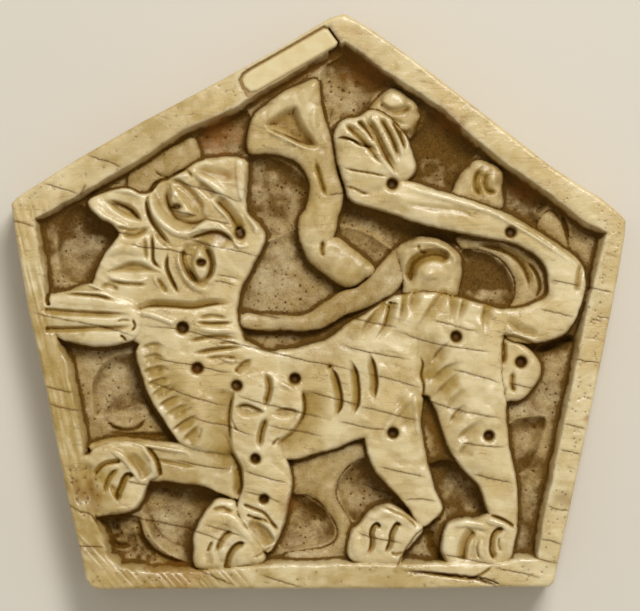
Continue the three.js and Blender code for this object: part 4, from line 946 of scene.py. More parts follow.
# %% Knife facets, scraper dents and rough ground
knife = 0.5 - np.abs(waves(3, stretch=1.6, turn=-30)) + 0.5 * (0.5 - np.abs(waves(1.4, stretch=2, turn=50)))
height += 0.17 * knife * on_top * (1 - on_border)
height += 0.05 * waves(1.6, stretch=3, turn=-17) * on_top
height += 0.022 * waves(0.6, stretch=4, turn=-17) * on_top
scraped = ease((waves(1.5, stretch=1.8, turn=-40) + 0.6 * waves(0.6, stretch=2, turn=-30) - 0.15) / 0.5)
height -= 0.05 * scraped * on_top * (1 - on_border)
mark(patina_mark, WHOLE, 0.32 * scraped * on_top)
on_ground = ease((5.9 - height) / 0.6)  # lower than all vines
height += 0.05 * waves(1.0) * (1 - on_top)
height += (0.06 * waves(0.6) + 0.02 * waves(0.3)) * on_ground
on_vine = ease((height - 5.4) / 0.3) * ease((6.8 - height) / 0.3) * (rim > 2)
rough_vine = 0.07 * waves(0.9, stretch=1.8, turn=60) + 0.06 * waves(0.45, stretch=1.5, turn=60)
height += rough_vine * on_vine
mark(patina_mark, WHOLE, 0.35 * ease(0.5 - 5 * rough_vine) * on_vine)
print("knife facets up to", round(float(0.17 * knife.max()), 2), "mm high")


# %% Pits in the ground and on the border
def pits(count, box, size, depth, where):
    """Small dents at random places of a box, where a mask allows them."""
    made = 0
    while made < count:
        x, y = chance.uniform(box[0], box[1]), chance.uniform(box[2], box[3])
        i, j = int((y - ys[0]) / STEP), int((x - xs[0]) / STEP)
        if where[i, j] < 0.5:
            continue
        radius = chance.uniform(0.5, 1) * size
        here = patch(np.array([(x, y)]), radius)
        dent = ease(1 - np.hypot(X[here] - x, Y[here] - y) / radius)
        height[here] -= chance.uniform(0.4, 1) * depth * dent
        mark(pit_mark, here, dent)
        made += 1


pit_mark = np.zeros(X.shape)
ground = (height < 5.6) & (rim > 2)
flat_border = (on_border > 0.5) & (rim > 0.3)
pits(520, (-30, 32, -30, 30), 0.24, 0.18, ground)
pits(90, (22, 35, -32, 12), 0.24, 0.12, flat_border)
pits(40, (-30, 22, -33, -29), 0.24, 0.1, flat_border)
pits(40, (-35, -9, 9, 27), 0.22, 0.1, flat_border)
pits(40, (-29, -24.6, -25, -19), 0.26, 0.14, rim > 0.6)
rough_corner = zone([(-25, -24), (-20.4, -24.6), (-19.4, -27.4), (-18.4, -30.2), (-24, -30.4)])
height += 0.16 * waves(0.5) * rough_corner * (1 - on_border)
print("pits cover", int((pit_mark > 0).sum()), "points")

# %% [markdown]
# ## Cracks
# Ivory dries in layers and splits along its grain. On this plaque the splits run almost parallel from left to
# right, falling a little, and pass over high and low alike. Each is a thin path with a tremor in it.

# %% Split the ivory
crack_mark = np.zeros(X.shape)


def crack(points, width=0.135, depth=0.045, dark=1.0):
    """Dark says how much of the crack shows as a line of dirt."""
    line = smooth_line(points, fine=6)
    line[1:-1] += chance.normal(0, 0.025, line[1:-1].shape)
    here = patch(line, 0.4)
    gap, _, along = nearest(line, here)
    swell = ease(4 * along + 0.2) * ease(4 * (1 - along) + 0.2)
    line_depth = swell * np.clip(1 - gap / width, 0, 1)
    height[here] -= depth * line_depth
    mark(crack_mark, here, dark * line_depth)
    mark(patina_mark, here, 0.45 * dark * swell * np.clip(1 - gap / 0.28, 0, 1))


CRACKS = [
    [(-35, 9.2), (-33.6, 8.9), (-32.2, 8.5)], [(-26.4, 16.7), (-25.2, 16.3), (-23.6, 15.8), (-22.2, 15.1)],
    [(-31.4, 13.5), (-29.4, 12.9), (-27.2, 12.2)], [(-26.5, 13.4), (-26.8, 12.7), (-27.2, 12.1)],
    [(-33, -1.1), (-30.6, -1.7), (-27.5, -2.3), (-24, -3), (-21.4, -3.8), (-20.4, -3.9)],
    [(-21, -2.6), (-18.6, -2.9), (-16.2, -3.1), (-14, -3.6), (-11.6, -4.2), (-9.2, -4.8), (-6, -5.6),
     (-2, -6.6), (2, -7.4), (5.4, -8.2)],
    [(-19.2, -6.2), (-16.6, -6.9), (-13.8, -7.3), (-11, -8), (-9.6, -8)],
    [(-19.8, -9), (-17.4, -9.8), (-14.6, -10.8), (-11.4, -11.7), (-10.2, -11.8)],
    [(-9.8, -10.4), (-8, -11.1), (-5.6, -11.8), (-3, -12.4), (-0.6, -13), (1.4, -13.4)],
    [(-14.6, -13.1), (-12.4, -13.8), (-10.2, -14.2), (-8.4, -15), (-7, -15.3)],
    [(-5.9, -14), (-4, -14.5), (-2, -14.8), (0.6, -15.4)], [(-1.2, -10.2), (1.6, -11), (4.6, -11.8)],
    [(-17, 14.1), (-14.6, 13.2), (-11.6, 12.4), (-9.4, 11.5), (-8.3, 11.3)],
    [(-17, 10.5), (-15.4, 10.1), (-13.9, 9.8)], [(-13, 9.5), (-11.4, 9.1), (-9.9, 8.8)],
    [(-15.8, 7.3), (-14, 6.9), (-12.4, 6.4), (-10, 5.9), (-7.8, 5.4), (-6.4, 5)],
    [(-22.4, 6.8), (-20, 6.2), (-17, 5.9), (-15.4, 5.5), (-13.8, 5.1)],
    [(-11.6, 3.1), (-10, 2.8), (-9.2, 2.6)], [(-12, 2.4), (-10.8, 2.2), (-9.6, 1.9)],
    [(-23.6, 8), (-21.4, 7.7)], [(-30.8, -11.6), (-29, -12.1), (-27, -12.5)],
    [(-31.2, -9.6), (-29, -10.2), (-27.8, -10.3)],
    [(-24.8, -24.5), (-22.4, -24.5), (-19.6, -25), (-16.4, -25.7), (-13.6, -26.3), (-11.6, -27),
     (-9.8, -27.9)], [(-16.6, -18), (-13.8, -18.6), (-11.4, -19), (-9.8, -19.1)],
    [(-21.9, -20.4), (-20.6, -20.7), (-19.4, -20.9)],
    [(-28.6, -22.9), (-27.4, -23.8), (-26, -24.2), (-25, -25.6)],
    [(-27.5, -27.8), (-25.6, -27.9), (-24.2, -28)], [(-14.3, -30.2), (-12, -31.3), (-9.4, -32.4)],
    [(-6.7, -31), (-4.2, -31.9), (-1.6, -32.6)], [(-13, -25.4), (-10.8, -26), (-8.6, -26.8)],
    [(2.4, -1.4), (6, -2.4), (9.4, -3)], [(8.6, -3.2), (11.2, -4.2), (13.8, -4.9), (17, -5.4), (20, -5.8)],
    [(12.8, -2), (15.6, -2.8), (18.4, -3.5)], [(15, -7.6), (18, -8.4), (20.8, -9.3)],
    [(11.8, -11), (14.6, -12), (18, -12.8), (21.2, -13.4)], [(16, -16), (18.6, -16.4), (21.4, -16.6)],
    [(17.4, -19.6), (19.8, -20.2), (22.3, -20.7)], [(9.8, -22.6), (11.8, -22.5), (13.4, -22.8)],
    [(21.8, -9.3), (23.4, -9.7), (24.8, -9.9)], [(26.4, 2.5), (28.2, 2.1), (29.8, 1.8)],
    [(25, -0.8), (27.6, -1.4), (29.2, -1.8)], [(31, -1.9), (32.2, -2.3)],
    [(29.2, -6.5), (30.6, -6.8), (32.1, -7)], [(30.2, 1.7), (31.8, 1.4), (33.6, 1)],
    [(31.6, -1.7), (33.1, -1.9)], [(27.9, -13.9), (29.6, -14.3), (30.5, -14.5)],
    [(27.4, -16.8), (28.6, -17.1), (29.9, -17.4)], [(26, -23.1), (27, -23.6), (28.6, -23.8)],
    [(25.2, -27), (26.6, -27.3), (27.8, -27.7)], [(24, -28.9), (25.8, -29.5), (27.4, -29.8)],
    [(19.8, -30.2), (21.4, -30.6), (24, -31.1), (25.4, -31.5)],
    [(14, -28.7), (16.2, -29.2), (18.6, -29.7), (20.4, -30)], [(5, -20.8), (6.8, -21.6), (9, -22.2)],
    [(1.2, 12.2), (3, 12.4)], [(4.4, -11.8), (8.2, -12.8), (11.4, -13.6)],
    [(5.6, -8.2), (8.8, -9), (11.8, -9.9)], [(2.2, -13.6), (5.8, -14.4), (8, -14.6)],
    [(2.6, -5), (6.4, -5.9), (10.4, -6.6)], [(-8.7, -19.2), (-6.2, -20), (-3.4, -20.7)],
    [(-8.6, -21.6), (-6, -22.2), (-4, -23)], [(6.8, -18.8), (9.4, -19.4), (12.4, -20)],
    [(-8, -1.2), (-4, -2)], [(4.2, -26.2), (6, -26.8), (9.8, -27.6)],
]
DEEP_CRACKS = [  # with their width and depth; the second and third have opened along the foot
    ([(2.2, 18.6), (3.8, 18.4), (6, 17.5)], 0.16, 0.1),
    ([(9.8, -30.7), (13.8, -31), (17.2, -31.4), (19, -31.9), (20.6, -32.6)], 0.26, 0.5),
    ([(17.8, -31.3), (19.4, -31.7), (20.8, -32.3)], 0.2, 0.3),
    ([(14.3, -23.7), (12.8, -25.4), (11.4, -26.3), (10.4, -27.5), (9.4, -29.2), (8.6, -30.8)], 0.16, 0.12),
]
HAIR_CRACKS = 90
for line in CRACKS:
    crack(line)
for deep_crack in DEEP_CRACKS:
    crack(*deep_crack)
for _ in range(HAIR_CRACKS):  # short ones with the grain
    x, y, reach = chance.uniform(-33, 33), chance.uniform(-32, 30), chance.uniform(0.8, 2.6)
    fall = -reach * chance.uniform(0.15, 0.4)
    middle = (x + reach / 2, y + fall / 2 + chance.normal(0, 0.05))
    crack([(x, y), middle, (x + reach, y + fall)], 0.13, 0.02, 0.4)
print(len(CRACKS) + len(DEEP_CRACKS), "cracks and", HAIR_CRACKS, "hair cracks")

# %% [markdown]
# ## Stains and painted shade
# Some of the colour isn't explained by the shape: an orange brown in a few hollows, a red spot on one paw, a
# worn brown patch where the raised paw touches the border. Grime, with painted shade, lies thickest in a few
# hollows and corners, and weather has yellowed whole parts of the figures. Each spot is a place, a radius and
# a strength, and, where it is long, its direction and how long.

# %% Mark stains, grime with painted shade, and weather
warm_mark, stain_mark, grime_and_shade_mark, weather_mark = (np.zeros(X.shape) for _ in range(4))


def stain(field, x, y, radius, strength, turn=0.0, stretch=1.0):
    u, v = turned(X - x, Y - y, turn)
    ragged = np.hypot(u / stretch, v) + 0.35 * radius * waves(0.8)
    mark(field, WHOLE, strength * ease((radius - ragged) / (0.8 * radius)))


WARM = [
    (-11.2, 19.2, 3.2, 0.8), (5.2, 26.2, 2.6, 0.5, -30, 1.6), (14.6, 20.6, 1.6, 0.5, -35, 2),
    (23.6, 12.6, 1.8, 0.5, -35, 1.6), (-3.4, -22.8, 1.6, 0.6), (-21.6, -28.2, 2.2, 0.1),
    (5.9, -28.4, 0.6, 1.0), (-9.6, 14.3, 1.0, 0.5, -10, 2.2), (-13.8, -7.6, 0.7, 1.0),
    (30.5, -13.2, 0.5, 0.8, 70, 1.6), (4.4, 30.7, 0.7, 0.5, -30, 1.6), (-16.5, -31, 1.8, 0.35, 0, 3),
    (-11.6, 7.8, 0.7, 0.4, 0, 2),
]
STAINED = [
    (-26.4, -21.9, 2.2, 1.1, -40, 1.3), (28, -22.4, 1.3, 0.9, 0, 1.3), (-26, -28.3, 1.0, 0.6, -10, 1.8),
    (26.1, 0.6, 0.8, 0.6, 30, 1.6), (13.2, -14.2, 1.3, 0.7, -72, 2.4),
]
# grime, with painted shade where the hollows lie in shadow
GRIME_AND_SHADE = [
    (5.4, 26.0, 3.4, 0.9, -35, 1.7), (13.6, 18.2, 4.0, 2.0, -50, 1.4), (22.8, 12.8, 2.6, 0.6, -35, 1.5),
    (18.8, 3.0, 3.4, 1.2, 0, 1.0), (9, 8.4, 2.2, 0.6, -20, 2.4), (-28.8, 9.2, 2.6, 0.9, 60, 1.6),
    (-27.4, 6.6, 3.4, 0.4, 80, 1.4), (-25.9, 8.2, 1.6, 1.2, 60, 1.4), (-30.6, 7.4, 1.6, 0.8, 80, 2.0),
    (13.8, -19.2, 2.6, 1.0, -55, 1.2), (16, -22.6, 2.4, 0.5, 0, 1.0), (-0.6, -23.8, 2.4, 0.45, 0, 1.3),
    (-4.4, 12.6, 3.8, 0.5, 70, 1.4), (-21.6, -26.6, 3.6, 0.1, 0, 1.2), (-11.4, 19, 3.0, 0.4, 25, 1.5),
    (1.6, -4.6, 2.6, 0.5, 20, 2.6), (26.4, -5.4, 1.8, 0.9, 20, 1.6), (-22, -11.6, 3.0, 0.3, 0, 1.0),
    (24.2, -21.5, 2.6, 0.45, 80, 2.4), (5.4, -20.4, 2.4, 0.3, 0, 1.0), (-16, -21, 3.4, 0.3, -10, 1.6),
    (25.2, -8.6, 2.8, 0.3, 80, 2.0), (13.2, -14.2, 1.7, 1.3, -72, 2.4), (13.2, 15.4, 2.6, 0.5, -50, 1.4),
    (-7.4, -26.1, 1.0, 0.5, -45, 2.0), (9.4, 10.4, 2.2, 0.25, -12, 2.4),
]
WEATHER = [
    (-27, -24, 8, 0.6, -75, 1.4), (-16, -17.6, 4, 0.45, -5, 2.0), (-24.6, -20.8, 4, 0.7, 0, 1.0),
    (-17.4, -9.6, 2.8, 0.6, -60, 2.0), (-15, -13.4, 1.8, 0.7, -50, 1.4), (-15, -31.6, 3, 0.7, 0, 4.0),
    (6, -31.6, 3, 0.5, 0, 4.0), (-19, 18.6, 5, 0.55, 28, 2.5), (-29.4, -10, 5, 0.6, -80, 3.0),
    (12.5, 4.5, 4, 0.4, 0, 1.0), (10, 21, 2.6, 0.4, 0, 1.0), (18.4, 13.6, 3, 0.4, 0, 1.0),
    (1, -9, 5, 0.25, 0, 1.6), (-18, 2, 4, 0.3, 0, 1.6), (10.6, -12.2, 2.4, 0.6, 90, 1.4),
    (14.2, -9.6, 2.6, 0.6, 60, 1.6), (-15.6, -19.4, 2.6, 0.8, -10, 1.8), (-32.4, -3, 3, 0.35, -80, 2.0),
    (11, 5.4, 3, 0.4, 20, 1.6), (-8, 9.4, 2, 0.35, 0, 1.0), (0.4, 15, 4, 0.4, 80, 2.0),
    (1.6, 0.6, 6, 0.5, 25, 1.6), (14.5, -15.2, 2.2, 0.5, -70, 1.6), (-10.4, -19.4, 3.6, 0.35, -10, 1.6),
    (1.5, -21.5, 5, 0.4, 0, 1.2), (-21.4, 15.6, 3, 0.3, 30, 1.6),
]
for field, spots in (warm_mark, WARM), (stain_mark, STAINED), (grime_and_shade_mark, GRIME_AND_SHADE), (weather_mark, WEATHER):
    for spot in spots:
        stain(field, *spot)
    print(len(spots), "spots, mean strength", round(float(field.mean()), 3))

# %% [markdown]
# ## The outer edge
# The plaque's outer arris is rounded by handling. We lower the field towards the outline, so that the face
# runs over into the sides. Nothing may stand prouder than the slab it was cut from: what does is pressed
# softly under the slab's old surface.

# %% Round the outer edge
height -= rolled(rim + 0.5 * wobble, 0.45, 0.4)
SLAB_TOP, SPARE = 7.85, 0.25
over = np.maximum(height - SLAB_TOP, 0)
height -= over - SPARE * (1 - np.exp(-over / SPARE))
print("highest point", round(float(height.max()), 2), "mm")

# %% [markdown]
# ## The seat of the infill strip
# A piece of the border was replaced with a strip of paler ivory. Its seat is cut 0.3 mm wider than the
# strip. Brown glue fills that room almost to the top, except at the strip's right end, and on the inner side
# the seat runs out into the hollow.

# %% Cut the seat
STRIP = [
    (-8.8, 25.2), (-8.5, 24.4), (-7.8, 23.8), (-6.9, 24), (2, 29.1), (2.2, 29.5), (1.1, 31), (0.6, 31.1),
    (-7.8, 26.3), (-8.5, 25.8),
]
STRIP_TOP, STRIP_BOTTOM = 7.75, 5.5
GLUE_GAP, GLUE_TOP = 0.3, 7.42
GLUE_END = 1.2  # right of this the gap is empty
OPEN_SIDE = (0.45, -0.8)  # the seat runs out this way
strip_gap = inward(np.array(STRIP), WHOLE)
run_out = inward(np.array(STRIP) + OPEN_SIDE, WHOLE)
seat = np.maximum(strip_gap, run_out) + GLUE_GAP
glued = (strip_gap < 0.08) & (X < GLUE_END)
glue = np.where(glued, np.minimum(height, GLUE_TOP), STRIP_BOTTOM - GLUE_GAP)
height = np.where(seat > 0, np.maximum(np.minimum(height, BORDER_TOP - WALL * seat), glue), height)
mark(stain_mark, WHOLE, ease((seat + 0.25) / 0.4))
print("seat:", int((seat > 0).sum()), "points")

# %% [markdown]
# ## From heights to a closed mesh
# Every square of four grid points inside the outline becomes a face. The stepped edge that this leaves is
# then pulled onto the true outline, and a wall runs from it down to a flat back, which closes the body. The
# back is a little smaller than the face, so its edge is a narrow chamfer.

# %% Build the body
BACK_CHAMFER = 0.3


def new_object(name, data):
    made = bpy.data.objects.new(name, data)
    bpy.context.scene.collection.objects.link(made)
    return made


def field_mesh(name, outline, inside, top, edge, levels):
    """A closed body whose face has the heights `top` and ends at the height `edge`. Its side wall has a ring
    of points at each level, and the last level is the back."""
    keep = inside > -0.35 * STEP
    square = keep[:-1, :-1] & keep[1:, :-1] & keep[:-1, 1:] & keep[1:, 1:]
    # a square with fewer than two neighbours would stick out like a tooth
    for _ in range(3):
        around = np.zeros(square.shape, int)
        around[1:] += square[:-1]
        around[:-1] += square[1:]
        around[:, 1:] += square[:, :-1]
        around[:, :-1] += square[:, 1:]
        square &= around > 1
    taken = np.zeros(X.shape, bool)
    for row in (slice(None, -1), slice(1, None)):
        for col in (slice(None, -1), slice(1, None)):
            taken[row, col] |= square
    number = np.full(X.shape, -1)
    number[taken] = np.arange(taken.sum())
    r, c = np.nonzero(square)
    quads = np.stack([number[r, c], number[r, c + 1], number[r + 1, c + 1], number[r + 1, c]], 1)
    places = np.stack([X[taken], Y[taken], top[taken]], 1)

    # the rim runs along those edges that no neighbouring square has the other way round
    edges = np.concatenate([quads[:, [k, (k + 1) % 4]] for k in range(4)])
    one_way = edges[:, 0] * len(places) + edges[:, 1]
    other_way = edges[:, 1] * len(places) + edges[:, 0]
    open_edges = edges[~np.isin(one_way, other_way)]
    following = dict(open_edges.tolist())
    loop = [int(open_edges[0, 0])]
    while following[loop[-1]] != loop[0]:
        loop.append(following[loop[-1]])
    loop = np.array(loop)
    print("face:", len(quads), "squares,", len(loop), "points round the edge")

    # pull the stepped edge onto the outline
    ring = np.array(outline + outline[:1])
    at = places[loop, :2]
    best, target = np.full(len(at), np.inf), at.copy()
    for a, b in zip(ring[:-1], ring[1:]):
        t = np.clip((at - a) @ (b - a) / ((b - a) @ (b - a)), 0, 1)[:, None]
        foot = a + t * (b - a)
        far = ((at - foot) ** 2).sum(1)
        target[far < best] = foot[far < best]
        best = np.minimum(best, far)
    places[loop] = np.column_stack([target, np.full(len(loop), edge)])

    # the side wall, in rings down to the back
    rings = [loop] + [len(places) + k * len(loop) + np.arange(len(loop)) for k in range(len(levels))]
    points = [places] + [np.column_stack([target, np.full(len(loop), level)]) for level in levels]
    away = target - target.mean(0)
    points[-1][:, :2] = target - BACK_CHAMFER * away / np.linalg.norm(away, axis=1)[:, None]
    walls = [np.stack([upper, lower, np.roll(lower, -1), np.roll(upper, -1)], 1)
             for upper, lower in zip(rings[:-1], rings[1:])]
    faces = [*np.concatenate([quads, *walls]).tolist(), rings[-1][::-1].tolist()]

    mesh = bpy.data.meshes.new(name)
    mesh.from_pydata((np.concatenate(points) * MM).tolist(), [], faces)
    mesh.validate()
    return mesh, len(loop)


SIDE_LEVELS = [7.2, 6.8, 3.6, BACK_CHAMFER, 0.0]
mesh, loop_length = field_mesh("carved_plaque", OUTLINE, rim, height, BORDER_TOP - 0.4, SIDE_LEVELS)
body = new_object("carved_plaque", mesh)
on_face = body.vertex_groups.new(name="carved face")  # the only part that is to be thinned
on_face.add(range(len(mesh.vertices) - len(SIDE_LEVELS) * loop_length), 1.0, "REPLACE")
print("body:", len(body.data.vertices), "points,", len(body.data.polygons), "faces")

# %% [markdown]
# The even grid spends as many triangles on a flat border as on an eye. We merge them where the face is flat
# until the number below is left; the details keep theirs.

# %% Thin the mesh where it is flat
TRIANGLES = 190_000
bm = bmesh.new()
bm.from_mesh(body.data)
bmesh.ops.triangulate(bm, faces=bm.faces)
bm.to_mesh(body.data)
full = len(bm.faces)
bm.free()
thin = body.modifiers.new("thin", "DECIMATE")
thin.vertex_group = on_face.name
thin.ratio = TRIANGLES / full
bpy.context.view_layer.update()
depsgraph = bpy.context.evaluated_depsgraph_get()
thinned = bpy.data.meshes.new_from_object(body.evaluated_get(depsgraph))
body.modifiers.clear()
body.data = thinned
print("thinned from", full, "to", len(body.data.polygons), "triangles")
above_chamfer = [polygon.center.z > 0.97 * BACK_CHAMFER * MM for polygon in body.data.polygons]
body.data.polygons.foreach_set("use_smooth", above_chamfer)  # the back and its chamfer look flat
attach(body, "root")
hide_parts("plaque")

# %% [markdown]
# ## The infill strip
# The strip is its own piece: a little slab with worn arrises, smoother than its old neighbours, made with the
# same function from its own outline and its own heights.

# %% The strip
STRIP_ROLL = 0.3
strip_top = STRIP_TOP - rolled(strip_gap, 0.35, STRIP_ROLL) + 0.03 * waves(1.8, stretch=2, turn=30)
mesh, _ = field_mesh("infill_strip", STRIP, strip_gap, strip_top, STRIP_TOP - STRIP_ROLL,
                     [6.9, 6.2, 5.6, STRIP_BOTTOM])
strip = new_object("infill_strip", mesh)
strip.data.shade_smooth()
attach(strip, "root")
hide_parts("border_infill_strip")
print("strip:", len(mesh.polygons), "faces")

# %% [markdown]
# ## What the surface remembers
# On old ivory the colour follows the shape: hands polish the high parts and dirt stays in the low ones.
# Here the colour also holds painted light: a painted highlight on the crests, and painted shade in sheltered
# hollows and below and left of what stands up. So we measure the finished field once and store the answers on
# the mesh, where the material can read them. Comparing the height with a blurred copy of itself tells creases
# from crests.


# %% Measure creases, crests and depth
def blurred(field, size):
    """The field seen without anything finer than this many millimetres."""
    row = np.fft.fftfreq(field.shape[0], STEP)[:, None]
    col = np.fft.fftfreq(field.shape[1], STEP)[None, :]
    soft = np.exp(-2 * (math.pi * size) ** 2 * (row**2 + col**2))
    return np.real(np.fft.ifft2(np.fft.fft2(field) * soft))


plain = np.where(rim > 0.35, height, BORDER_TOP)  # the rounded outer edge is no crease
filled = (strip_gap > -GLUE_GAP) & (X < GLUE_END)
plain = np.where(filled, np.maximum(plain, 7.4), plain)  # the strip fills its seat
fine_relief = plain - blurred(plain, 0.28)
tops = np.maximum(plain, 6.9)
top_relief = tops - blurred(tops, 0.28)
broad_relief = plain - blurred(plain, 1.1)
AWAY = 8  # grid steps up and to the right: what stands there keeps hands and light off the point
DEEPEST = 3.6
# painted shadow: the colour darkens below and left of what stands up and to the right, towards the lamp
painted_lee_shadow = np.roll(blurred(plain, 0.5), (-AWAY, -AWAY), (0, 1)) - plain
SURFACE = {  # every measure is scaled so that 1 stands for its strongest places
    "recess": np.clip((BORDER_TOP - plain) / DEEPEST, 0, 1),
    "crease": np.clip(-fine_relief / 0.3, 0, 1),
    "crest": np.clip(top_relief / 0.12 - 0.15, 0, 1),
    # painted shade, darkest inside broad hollows
    "painted_shelter_shade": np.clip(-broad_relief / 1.2, 0, 1),
    # painted shadow below and left of raised parts
    "painted_lee_shadow": np.clip(painted_lee_shadow / 2.2, 0, 1),
    "steep": np.clip(np.hypot(*np.gradient(blurred(plain, 0.1), STEP)) / 2.5 - 0.15, 0, 1),
    "foot": np.clip(-(plain - blurred(plain, 0.13)) / 0.1 - 0.2, 0, 1),
    "patina": patina_mark,
    # grime, with painted shade
    "grime_and_shade": grime_and_shade_mark,
    "weather": weather_mark,
    "line": line_mark,
    "crack": crack_mark,
    "pit": pit_mark,
    "bore": bore_mark,
    "warm": warm_mark,
    "stained": stain_mark,
}


PLAIN_BELOW, FADED_OVER = 6.8, 0.6


def write_surface(mesh):
    """Stores every measure on the mesh. The sides are plain ivory, so there all of them fade to nothing."""
    co = np.empty(len(mesh.vertices) * 3, np.float32)
    mesh.vertices.foreach_get("co", co)
    co = co.reshape(-1, 3) / MM
    col = np.clip((co[:, 0] - xs[0]) / STEP, 0, len(xs) - 1.001)
    row = np.clip((co[:, 1] - ys[0]) / STEP, 0, len(ys) - 1.001)
    on_side = sample(rim, row, col) < 0.06
    down_the_side = np.where(on_side, np.clip((co[:, 2] - PLAIN_BELOW) / FADED_OVER, 0, 1), 1)
    for name, field in SURFACE.items():
        value = sample(field, row, col) * down_the_side
        mesh.attributes.new(name, "FLOAT", "POINT").data.foreach_set("value", value.astype(np.float32))


write_surface(body.data)
print({name: round(float(field.mean()), 3) for name, field in SURFACE.items()})

# %% [markdown]
# ## Ivory, as nodes
# The finish is mixed in layers. First the clean ivory: cream, with yellower clouds and faint streaks along
# the grain. Then handling and a painted highlight: lighter crests. Then dirt and painted shade, wherever the
# surface is low or creased, broken up by fine noise so that it sits in pores instead of lying on like paint.
# Last the cracks and holes.


# %% Small helpers for node trees
def colour(red, green, blue):
    """A colour as a screen shows it, turned into the light values that the shader wants."""
    return (*[((v / 255 + 0.055) / 1.055) ** 2.4 for v in (red, green, blue)], 1.0)


def new_material(name):
    """The helpers below put their nodes into the tree that was made last."""
    material = bpy.data.materials.new(name)
    material.use_nodes = True
    return material, material.node_tree


def feed(made, values):
    """Gives a node its inputs: a link from another node, or a plain value."""
    for key, value in values.items():
        if isinstance(value, bpy.types.NodeSocket):
            tree.links.new(value, made.inputs[key])
        else:
            made.inputs[key].default_value = value


def node(kind, values, **settings):
    made = tree.nodes.new("ShaderNode" + kind)
    for key, value in settings.items():
        setattr(made, key, value)
    feed(made, values)
    return made


def maths(operation, a, b=0.0, clamp=False):
    return node("Math", {0: a, 1: b}, operation=operation, use_clamp=clamp).outputs[0]


def times(a, b, clamp=False):
    return maths("MULTIPLY", a, b, clamp)


def plus(a, b, clamp=False):
    return maths("ADD", a, b, clamp)


def minus(a, b):
    return maths("SUBTRACT", a, b)


def larger(a, b):
    return maths("MAXIMUM", a, b)


def reading(name, share=1.0):
    """A measure that is stored on the mesh, or a share of it."""
    value = node("Attribute", {}, attribute_name=name).outputs["Fac"]
    return value if share == 1.0 else times(value, share)


def between(value, low, high):
    """0 below low, 1 above high, and a soft step between them."""
    values = {"Value": value, "From Min": low, "From Max": high}
    return node("MapRange", values, interpolation_type="SMOOTHSTEP").outputs["Result"]


def tint(amount, under, over):
    return node("Mix", {0: amount, 6: under, 7: over}, data_type="RGBA").outputs[2]


def grain_space(turn=-16.0, stretch=1.0):
    """Object coordinates in millimetres, turned along the ivory's grain and drawn out along it."""
    place = node("TexCoord", {}).outputs["Object"]
    size = 1 / MM
    values = {"Vector": place, "Rotation": (0, 0, math.radians(-turn)), "Scale": (size / stretch, size, size)}
    return node("Mapping", values).outputs["Vector"]


def clouds(space, scale, detail=4.0, roughness=0.55):
    values = {"Vector": space, "Scale": scale, "Detail": detail, "Roughness": roughness}
    return node("TexNoise", values).outputs["Fac"]


def bumps(strength, high, lumps):
    """Small unevenness that only the light sees."""
    return node("Bump", {"Strength": strength, "Distance": high * MM, "Height": lumps}).outputs["Normal"]


# the crest colour is worn ivory lightened further by a painted highlight
print("a worn crest is", [round(v, 2) for v in colour(239, 228, 194)[:3]], "to the shader")

# %% Clean ivory, polished by hands, with a painted highlight on the crests
ivory, tree = new_material("old_ivory")
even, drawn = grain_space(), grain_space(stretch=9)
broad = clouds(even, 0.16, 3)
mid = clouds(even, 0.7, 5, 0.6)
fine = clouds(even, 4.5, 6, 0.7)
streak = clouds(drawn, 1.6, 5, 0.65)

clean = tint(between(broad, 0.35, 0.65), colour(223, 205, 158), colour(208, 183, 126))
clean = tint(times(between(streak, 0.45, 0.75), 0.45), clean, colour(190, 158, 92))
clean = tint(times(between(mid, 0.5, 0.8), 0.4), clean, colour(186, 164, 96))
# crests lighter from polish, and lighter still from a painted highlight in the colour of a glint
polished_and_highlit = tint(reading("crest", 0.4), clean, colour(239, 228, 194))
print("clean ivory:", len(tree.nodes), "nodes")

# %% [markdown]
# Patina is olive yellow. It fills every cut and lies over the weathered parts. Dirt and painted shade make
# one film whose thickness adds up from how low, how sheltered, how creased and how steep a place is: low and
# creased places hold dirt, sheltered places and the lee below and left of what stands up are painted shade,
# and the grime spots are both. It darkens in two steps. Pores and dots hold it even where the film is thin.

# %% Patina, dirt and painted shade
aged = plus(reading("patina", 0.95), reading("weather"))
aged = times(aged, plus(times(mid, 0.9), 0.45), clamp=True)
aged = tint(aged, polished_and_highlit, colour(166, 136, 62))

# a film of dirt and painted shade: the shares for shelter and lee are painted shade, the grime share is grime
# with painted shade
dirt_and_shade_film = times(between(reading("recess"), 0.18, 0.8), 0.52)
SHARES = {"painted_shelter_shade": 0.1, "painted_lee_shadow": 0.26, "crease": 0.3, "line": 0.7, "steep": 0.18, "grime_and_shade": 0.5}
for name, share in SHARES.items():
    dirt_and_shade_film = plus(dirt_and_shade_film, reading(name, share))
patches = between(clouds(even, 0.42, 4, 0.6), 0.2, 0.8)
dirt_and_shade_film = times(dirt_and_shade_film, plus(times(patches, 0.65), 0.68), clamp=True)
dirt_and_shade_film = plus(dirt_and_shade_film, reading("foot", 0.5), clamp=True)
dirty_and_shaded = tint(times(dirt_and_shade_film, 0.85), aged, colour(142, 104, 30))
dirty_and_shaded = tint(times(between(dirt_and_shade_film, 0.5, 1.0), 0.7), dirty_and_shaded, colour(88, 56, 5))

pores = times(between(fine, 0.42, 0.66), plus(times(dirt_and_shade_film, 0.5), 0.06))
dots = between(clouds(even, 3.4, 2), 0.67, 0.73)
grains = between(clouds(even, 6.2, 3, 0.6), 0.58, 0.66)
dots = times(larger(dots, times(grains, 0.75)), plus(times(dirt_and_shade_film, 0.7), 0.12))
specks = larger(pores, dots)
dirty_and_shaded = tint(specks, dirty_and_shaded, colour(72, 44, 6))
print("with patina and dirt:", len(tree.nodes), "nodes")

# %% [markdown]
# Crazing is a thread of brown wherever a slow noise passes its middle value. It comes in patches, and most of
# it runs along the grain. Cracks, pits and holes are darkest and come last, so that nothing lightens them.

